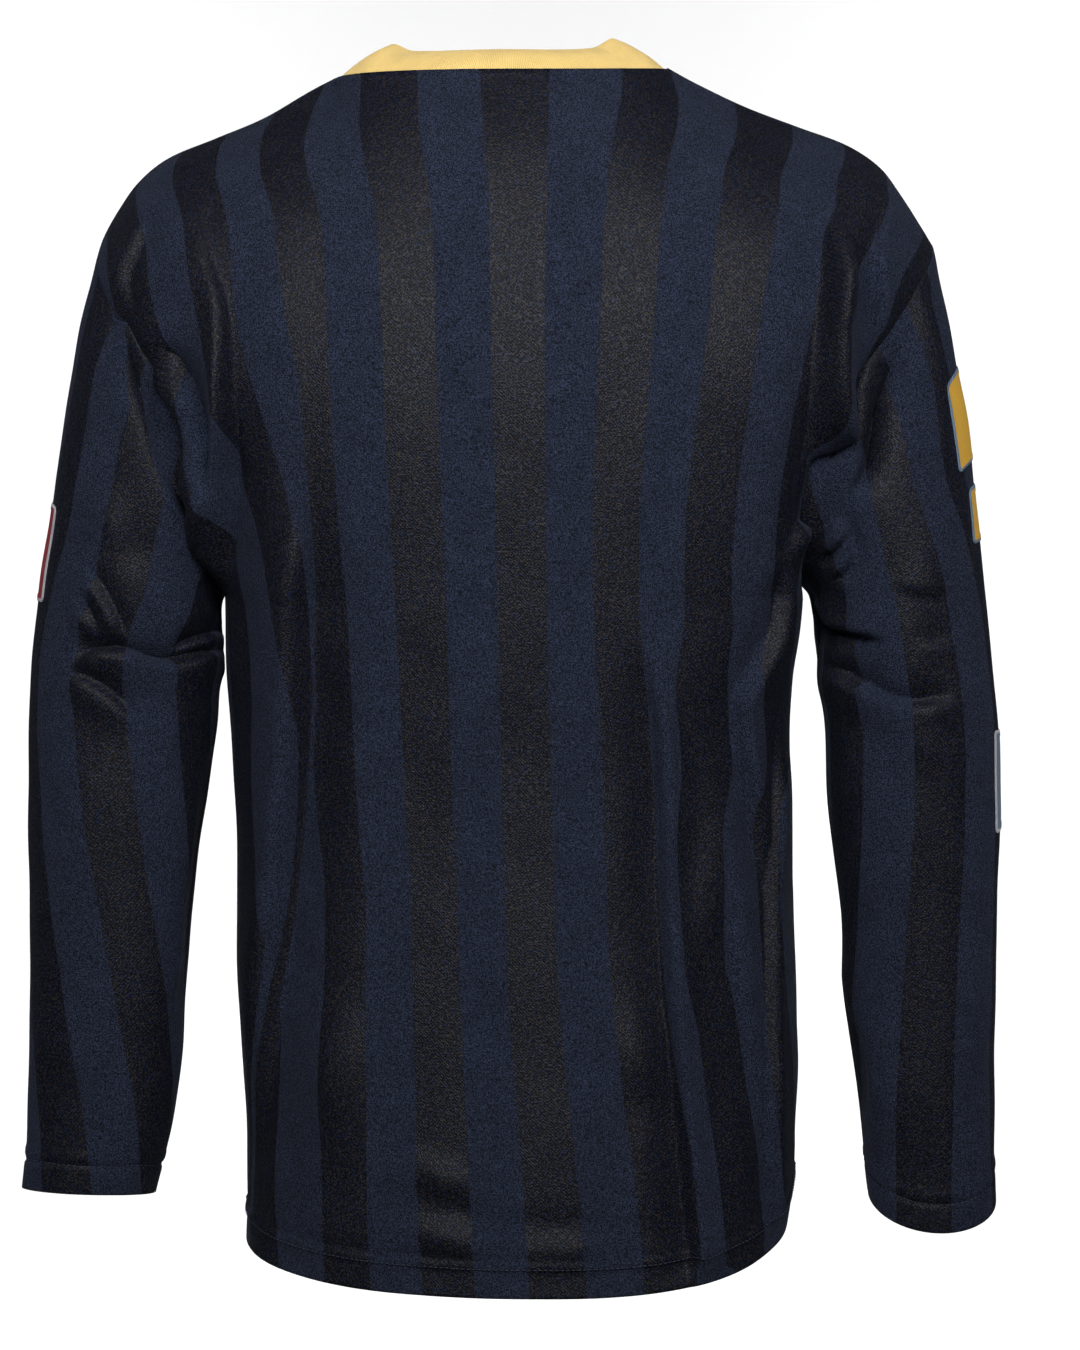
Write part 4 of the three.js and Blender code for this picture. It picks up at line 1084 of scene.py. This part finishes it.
class Nodes:
    """Adds nodes to a material, each with its inputs set or joined."""

    def __init__(self, name, **shader):
        self.material = bpy.data.materials.new(name)
        self.material.use_nodes = True
        self.tree = self.material.node_tree
        self.tree.nodes.clear()
        self.shader = self.tree.nodes.new("ShaderNodeBsdfPrincipled")
        output = self.tree.nodes.new("ShaderNodeOutputMaterial")
        self.tree.links.new(self.shader.outputs[0], output.inputs[0])
        self.set(self.shader, shader)

    def finish(self, colour, bump, **inputs):
        """Sets what varies over the surface."""
        self.set(self.shader, {"Base Color": colour, "Normal": bump, **inputs})
        return self.material

    def on_cloth(self):
        """The cloth's own UV map, and its two parts: across and up."""
        cloth = self.add("UVMap", uv_map="cloth")
        apart = self.add("SeparateXYZ", {0: cloth}).node
        return cloth, apart.outputs[0], apart.outputs[1]

    def set(self, node, values):
        for name, value in values.items():
            socket = node.inputs[name] if isinstance(name, int) else node.inputs[name.replace("_", " ")]
            if isinstance(value, bpy.types.NodeSocket):
                self.tree.links.new(value, socket)
            else:
                socket.default_value = value

    def add(self, kind, inputs=None, output=0, **settings):
        node = self.tree.nodes.new("ShaderNode" + kind)
        for name, value in settings.items():
            setattr(node, name, value)
        self.set(node, inputs or {})
        return node.outputs[output]

    def math(self, operation, a, b=0.0, c=0.0):
        return self.add("Math", {0: a, 1: b, 2: c}, operation=operation)

    def blend(self, share, a, b, kind="MIX"):
        return self.add("Mix", {0: share, 6: a, 7: b}, 2, data_type="RGBA", blend_type=kind)

    def blend_values(self, share, a, b):
        return self.add("Mix", {0: share, 2: a, 3: b}, data_type="FLOAT")

    def range(self, value, low, high, to_low=0.0, to_high=1.0, kind="LINEAR"):
        return self.add(
            "MapRange", {0: value, 1: low, 2: high, 3: to_low, 4: to_high}, interpolation_type=kind
        )

    def noise(self, vector, scale, detail=2.0, roughness=0.5):
        return self.add(
            "TexNoise",
            {"Vector": vector, "Scale": scale, "Detail": detail, "Roughness": roughness},
        )

    def sine(self, value, pitch):
        """A sine wave of the given pitch."""
        return self.math("SINE", self.math("MULTIPLY", value, 2 * math.pi / pitch))

    def mottle(self, colour, value, low, high, to_low, to_high):
        """The colour times a value's range."""
        return self.blend(1.0, colour, self.range(value, low, high, to_low, to_high), "MULTIPLY")

    def bump(self, height, distance, strength):
        return self.add("Bump", {"Strength": strength, "Distance": distance, "Height": height})


def scaled(colour, share=1):
    """An opaque colour, times a share or one share for each of its parts."""
    return (*np.multiply(colour, share), 1.0)


def striped_cloth(sizes):
    """The jersey's cloth: stripes of brushed navy knit between stripes of smooth, faintly shiny
    black twill. Stripes, ribs and specks follow the cloth's own UV map, in metres."""
    n = Nodes("striped_cloth", Metallic=0.0, **{
        "Specular IOR Level": 0.18, "Sheen Weight": 0.015, "Sheen Roughness": 0.45,
        "Sheen Tint": (0.62, 0.72, 1.0, 1.0),
    })
    cloth, across, up = n.on_cloth()
    # stripes: 0 on black, 1 on navy, with edges that waver by 0.3 mm
    waver = n.math("MULTIPLY", n.math("SUBTRACT", n.noise(cloth, 900.0, 0.0), 0.5), 0.0006)
    shifted = n.math("ADD", across, waver)
    wave = n.math("PINGPONG", n.math("MULTIPLY", shifted, 1000 / STRIPE), 1.0)
    navy = n.range(wave, *NAVY_EDGE, kind="SMOOTHSTEP")
    # twill: slanting ribs, broken into stitches
    ribs = n.sine(n.math("SUBTRACT", across, up), TWILL)
    place = n.add("TexCoord", output=3)
    grain = n.math("MULTIPLY_ADD", ribs, 0.06, n.noise(place, 900.0, 1.0))
    nap = n.noise(place, 1250.0, 1.0)
    beside = n.add("VectorMath", {0: place, 1: (5.0, 3.0, 0.0)}, operation="ADD")
    speck = n.noise(beside, 600.0, 1.0)
    patchy = n.noise(place, 45.0, 3.0, 0.55)
    # colours
    tint = n.blend(n.range(speck, 0.40, 0.60), scaled(BROWN_SPECK), scaled(BLUE_SPECK))
    black = n.blend(n.range(grain, 0.44, 0.66), scaled(sizes.black), tint)
    blue = n.blend(n.range(nap, 0.40, 0.64), scaled(sizes.navy, 0.35), scaled(sizes.navy, 2))
    colour = n.mottle(n.blend(navy, black, blue), patchy, 0.3, 0.7, 0.88, 1.12)
    rough = n.blend_values(navy, n.range(grain, 0.4, 0.65, 0.62, 0.44), 1.0)
    return n.finish(colour, n.bump(grain, 0.0006, 0.9), Roughness=rough)


def collar_cloth(sizes):
    """The collar: fine upright ribs of golden flat knit, with painted shade that darkens their furrows."""
    n = Nodes("golden_knit", Metallic=0.0, Roughness=0.85, **{
        "Specular IOR Level": 0.25, "Sheen Weight": 0.15, "Sheen Roughness": 0.5,
        "Sheen Tint": (1.0, 0.9, 0.7, 1.0),
    })
    cloth, across, up = n.on_cloth()
    ribs = n.math("ABSOLUTE", n.sine(across, 2 * KNIT_RIB))
    lean = n.math("MULTIPLY", n.math("PINGPONG", across, KNIT_RIB / 2), 1.2)
    loops = n.sine(n.math("ADD", up, lean), KNIT_LOOP)
    knit = n.math("MULTIPLY_ADD", loops, 0.2, n.math("MULTIPLY", ribs, 0.8))
    fuzz = n.noise(cloth, 1500.0, 3.0, 0.6)
    patchy = n.noise(cloth, 60.0)
    # painted shade: the gold darkened and deepened where the knit is low, in the ribs' furrows
    furrow_shade = scaled(sizes.gold, (0.8, 0.66, 0.42))
    colour = n.blend(n.range(knit, 0.1, 0.9), furrow_shade, scaled(sizes.gold))
    colour = n.blend(n.range(fuzz, 0.55, 0.8, 0.0, 0.35), colour, (1.0, 0.86, 0.5, 1.0))
    colour = n.mottle(colour, patchy, 0.3, 0.7, 0.93, 1.05)
    return n.finish(colour, n.bump(n.math("MULTIPLY_ADD", fuzz, 0.35, knit), 0.0005, 0.7))


def patch_cloth(name, colour, border):
    """A woven patch: close slanting threads, and a border of threads that run across its edge."""
    n = Nodes(name, Metallic=0.0, Roughness=0.6, **{"Specular IOR Level": 0.3})
    cloth, across, up = n.on_cloth()
    edge = n.add("Attribute", output=2, attribute_name="edge")
    on_border = n.range(edge, *BORDER_EDGE, 1.0, 0.0)
    weave = n.sine(n.math("ADD", across, n.math("MULTIPLY", up, 0.9)), WEAVE)
    over_edge = n.math("ADD", n.sine(across, BORDER_THREAD), n.sine(up, BORDER_THREAD))
    threads = n.blend_values(on_border, weave, n.math("MULTIPLY", over_edge, 0.6))
    fuzz = n.noise(cloth, 1300.0, 2.0, 0.6)
    shade = n.math("MULTIPLY_ADD", fuzz, 0.8, n.math("MULTIPLY", threads, 0.25))
    paint = n.blend(on_border, scaled(colour), scaled(border))
    return n.finish(n.mottle(paint, shade, 0.0, 0.9, 0.72, 1.12), n.bump(threads, 0.0003, 0.7))


def thread_cloth(colour):
    """Sewing thread: two strands twisted together."""
    n = Nodes("sewing_thread", Metallic=0.0, Roughness=0.55, **{"Specular IOR Level": 0.3})
    place = n.add("TexCoord", output=3)
    strands = n.add(
        "TexWave", {"Vector": place, "Scale": 900.0, "Distortion": 2.0}, bands_direction="DIAGONAL"
    )
    paint = n.blend(strands, scaled(colour, 0.6), scaled(colour, 1.5))
    return n.finish(paint, n.bump(strands, 0.0002, 0.6))


def stage_paint(colour):
    """Plain, matt floor paper."""
    n = Nodes("pale_paper", Metallic=0.0, Roughness=0.9)
    grain = n.noise(n.add("TexCoord", output=3), 6.0)
    n.set(n.shader, {"Base Color": n.mottle(scaled(colour), grain, 0.0, 1.0, 0.99, 1.0)})
    return n.material


# ---- stage ------------------------------------------------------------------------------------
FLOOR = -1400.0
FLOOR_START, FLOOR_END, FLOOR_BEND = 1300.0, -2250.0, 700.0  # behind, in front, radius of its curve
FLOOR_HALF_WIDTH = 3600.0
PAPER_HEIGHT = 3600.0
PAPER = (0.9, 0.9, 0.9)
WORLD_LIGHT = 0.035
LIGHTS = (
    # name, place, target, width and height in metres, watts, whether glossy surfaces show it
    ("key_softbox", (-0.05, 1.18, 0.33), (0, 0, -0.22), (1.3, 0.5), 19.3, True),
    ("left_shoulder", (0.85, 0.95, 0.5), (0.26, 0, -0.24), (0.5, 0.5), 2.6, True),
    ("right_shoulder", (-0.85, 0.95, 0.5), (-0.26, 0, -0.24), (0.5, 0.5), 2.6, True),
    ("left_rim", (1.2, -0.25, -0.5), (0.25, 0, -0.5), (0.4, 0.8), 2, False),
    ("right_rim", (-1.2, -0.25, -0.5), (-0.25, 0, -0.5), (0.4, 0.8), 2.5, False),
    ("left_gap", (0.38, -0.6, -0.5), (0.18, 0, -0.5), (0.25, 0.8), 0.7, False),
    ("right_gap", (-0.38, -0.6, -0.5), (-0.18, 0, -0.5), (0.25, 0.8), 0.7, False),
    ("front_softbox", (0.8, -2.0, 0.9), (0, 0, -0.3), (1.4, 1.2), 10, False),
    ("paper_left", (1.7, -1.5, 0.9), (0.45, -2.95, -0.5), (0.9, 0.9), 32, False),
    ("paper_right", (-1.7, -1.5, 0.9), (-0.45, -2.95, -0.5), (0.9, 0.9), 32, False),
    ("paper_low", (0, -1.7, -1.2), (0, -2.95, -1.15), (1.8, 0.3), 8, False),
)
CAMERA_PLACE = (-0.016, 1.8, -0.370)
VIEW_HEIGHT = 0.837  # height of the picture at the garment's middle


def make_floor():
    """A sheet of pale paper: level, then bent up by a quarter circle in front of the garment, as
    far below it as the ground is below a wearer's shoulders."""
    turn = steps(0, math.pi / 2, 16)
    bend_y = FLOOR_END - FLOOR_BEND * np.sin(turn)
    bend_z = FLOOR + FLOOR_BEND * (1 - np.cos(turn))
    curve_y = np.concatenate([[FLOOR_START], bend_y, [FLOOR_END - FLOOR_BEND]])
    curve_z = np.concatenate([[FLOOR], bend_z, [FLOOR + PAPER_HEIGHT]])
    sides = np.array([-FLOOR_HALF_WIDTH, FLOOR_HALF_WIDTH])
    points = spot(sides[None, :], curve_y[:, None], curve_z[:, None])
    faces = grid_faces(*points.shape[:2])[:, ::-1]
    floor = make_mesh("floor", points, faces, None, stage_paint(PAPER))
    floor.visible_glossy = False


def make_light(name, place, target, size, power, glints):
    """A rectangular soft light at a place, turned towards its target."""
    lamp = bpy.data.lights.new(name, "AREA")
    lamp.shape = "RECTANGLE"
    lamp.size, lamp.size_y = size
    lamp.energy = power
    light = bpy.data.objects.new(name, lamp)
    light.location = place
    towards = Vector(target) - Vector(place)
    light.rotation_euler = towards.to_track_quat("-Z", "Y").to_euler()
    light.visible_camera = False
    light.visible_glossy = glints
    bpy.context.scene.collection.objects.link(light)


def make_lights():
    """All the lights, and a dim, even world."""
    for light in LIGHTS:
        make_light(*light)
    world = bpy.data.worlds.new("studio")
    world.use_nodes = True
    background = world.node_tree.nodes["Background"]
    background.inputs[0].default_value = (1, 1, 1, 1)
    background.inputs[1].default_value = WORLD_LIGHT
    bpy.context.scene.world = world
    bpy.context.scene.view_settings.view_transform = "Standard"


def make_camera():
    """A level camera behind the wearer, with a lens that fits the picture's height."""
    camera = bpy.data.cameras.new("camera")
    camera.sensor_width = 36
    camera.lens = camera.sensor_width * CAMERA_PLACE[1] / VIEW_HEIGHT
    camera.clip_end = 20
    holder = bpy.data.objects.new("camera", camera)
    holder.location = CAMERA_PLACE
    holder.rotation_euler = (math.pi / 2, 0, math.pi)
    bpy.context.scene.collection.objects.link(holder)
    bpy.context.scene.camera = holder


# ---- add-on -----------------------------------------------------------------------------------
def size_property(name, description, default):
    """A thickness that a user can set, given here in millimetres."""
    return bpy.props.FloatProperty(
        name=name, description=description, default=default * MM, min=0.3 * MM, max=5 * MM,
        subtype="DISTANCE", unit="LENGTH", precision=4,
    )


def colour_property(name, description, default):
    """A colour that a user can set."""
    return bpy.props.FloatVectorProperty(
        name=name, description=description, default=default, min=0.0, max=1.0, subtype="COLOR",
        size=3,
    )


class JerseySizes(bpy.types.PropertyGroup):
    """Thicknesses and colours that a user would change."""

    cloth_wall: size_property("Cloth thickness", "Thickness of the body and sleeves", 1.3)
    collar_wall: size_property("Collar thickness", "Thickness of the folded collar", 2.2)
    patch_wall: size_property("Patch thickness", "Thickness of the patches and bars", 0.6)
    black: colour_property("Black", "Ground of the smooth stripes", (0.0006, 0.0012, 0.0040))
    navy: colour_property("Navy", "Brushed stripes", (0.0116, 0.0155, 0.0298))
    gold: colour_property("Gold", "Flat-knit collar", (0.97, 0.74, 0.29))
    red: colour_property("Red", "Patch on the left sleeve", (0.30, 0.035, 0.045))
    patch_gold: colour_property("Patch gold", "Bars on the right sleeve", (0.85, 0.48, 0.06))
    slate: colour_property("Slate", "Slate bar and the gold bars' edges", (0.17, 0.24, 0.33))
    thread: colour_property("Thread", "Stitching of the hem and cuffs", (0.027, 0.034, 0.053))
    pale: colour_property("Pale edge", "Edges of the patch and slate bar", (0.52, 0.52, 0.55))


class JERSEY_OT_stage(bpy.types.Operator):
    """Makes the floor, the lights and the camera."""

    bl_idname = "jersey.stage"
    bl_label = "Stage"

    def execute(self, context):
        make_floor()
        make_lights()
        make_camera()
        return {"FINISHED"}


class JERSEY_OT_patches(bpy.types.Operator):
    """Makes the patches on the sleeves."""

    bl_idname = "jersey.patches"
    bl_label = "Patches"

    def execute(self, context):
        sizes = context.scene.jersey_sizes
        colours = {"red": sizes.red, "gold": sizes.patch_gold, "slate": sizes.slate, "pale": sizes.pale}
        for patch in PATCHES:
            weave = patch_cloth(patch.name + "_weave", colours[patch.face], colours[patch.edge])
            piece = patch_piece(patch, sizes, weave)
        return {"FINISHED"}


class JERSEY_OT_body(bpy.types.Operator):
    """Makes the back and the front."""

    bl_idname = "jersey.body"
    bl_label = "Back and front"

    def execute(self, context):
        sizes = context.scene.jersey_sizes
        striped_cloth(sizes)
        thread_cloth(sizes.thread)
        for face, name in ((BACK, "back"), (FRONT, "front")):
            cloth = name + "_cloth"
            piece = body_piece(face, cloth, sizes)
            finish_sheet(piece, name + "_panel", sizes)
        return {"FINISHED"}


class JERSEY_OT_sleeves(bpy.types.Operator):
    """Makes both sleeves."""

    bl_idname = "jersey.sleeves"
    bl_label = "Sleeves"

    def execute(self, context):
        sizes = context.scene.jersey_sizes
        for side in (LEFT, RIGHT):
            node = side_name(side) + "_sleeve"
            cloth = node + "_cloth"
            piece = sleeve_piece(side, cloth, sizes)
            finish_sheet(piece, node, sizes)
        return {"FINISHED"}


class JERSEY_OT_collar(bpy.types.Operator):
    """Makes the flat-knit collar."""

    bl_idname = "jersey.collar"
    bl_label = "Collar"

    def execute(self, context):
        sizes = context.scene.jersey_sizes
        piece = collar_piece("collar_knit", in_mm(sizes.collar_wall), collar_cloth(sizes))
        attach(piece, "root")
        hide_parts("collar")
        return {"FINISHED"}


OPERATORS = (JERSEY_OT_stage, JERSEY_OT_patches, JERSEY_OT_body, JERSEY_OT_sleeves, JERSEY_OT_collar)


class JERSEY_PT_panel(bpy.types.Panel):
    """Lists the sizes and colours, and what the add-on can build."""

    bl_idname = "JERSEY_PT_panel"
    bl_label = "Jersey"
    bl_space_type = "VIEW_3D"
    bl_region_type = "UI"
    bl_category = "Jersey"

    def draw(self, context):
        for name in JerseySizes.__annotations__:
            self.layout.prop(context.scene.jersey_sizes, name)
        for operator in OPERATORS:
            self.layout.operator(operator.bl_idname)


CLASSES = (JerseySizes, *OPERATORS, JERSEY_PT_panel)


def register():
    for item in CLASSES:
        bpy.utils.register_class(item)
    bpy.types.Scene.jersey_sizes = bpy.props.PointerProperty(type=JerseySizes)


def unregister():
    del bpy.types.Scene.jersey_sizes
    for item in reversed(CLASSES):
        bpy.utils.unregister_class(item)


def main():
    """Builds everything in order."""
    register()
    for operator in OPERATORS:
        group, name = operator.bl_idname.split(".")
        getattr(getattr(bpy.ops, group), name)()


if __name__ == "__main__":
    main()
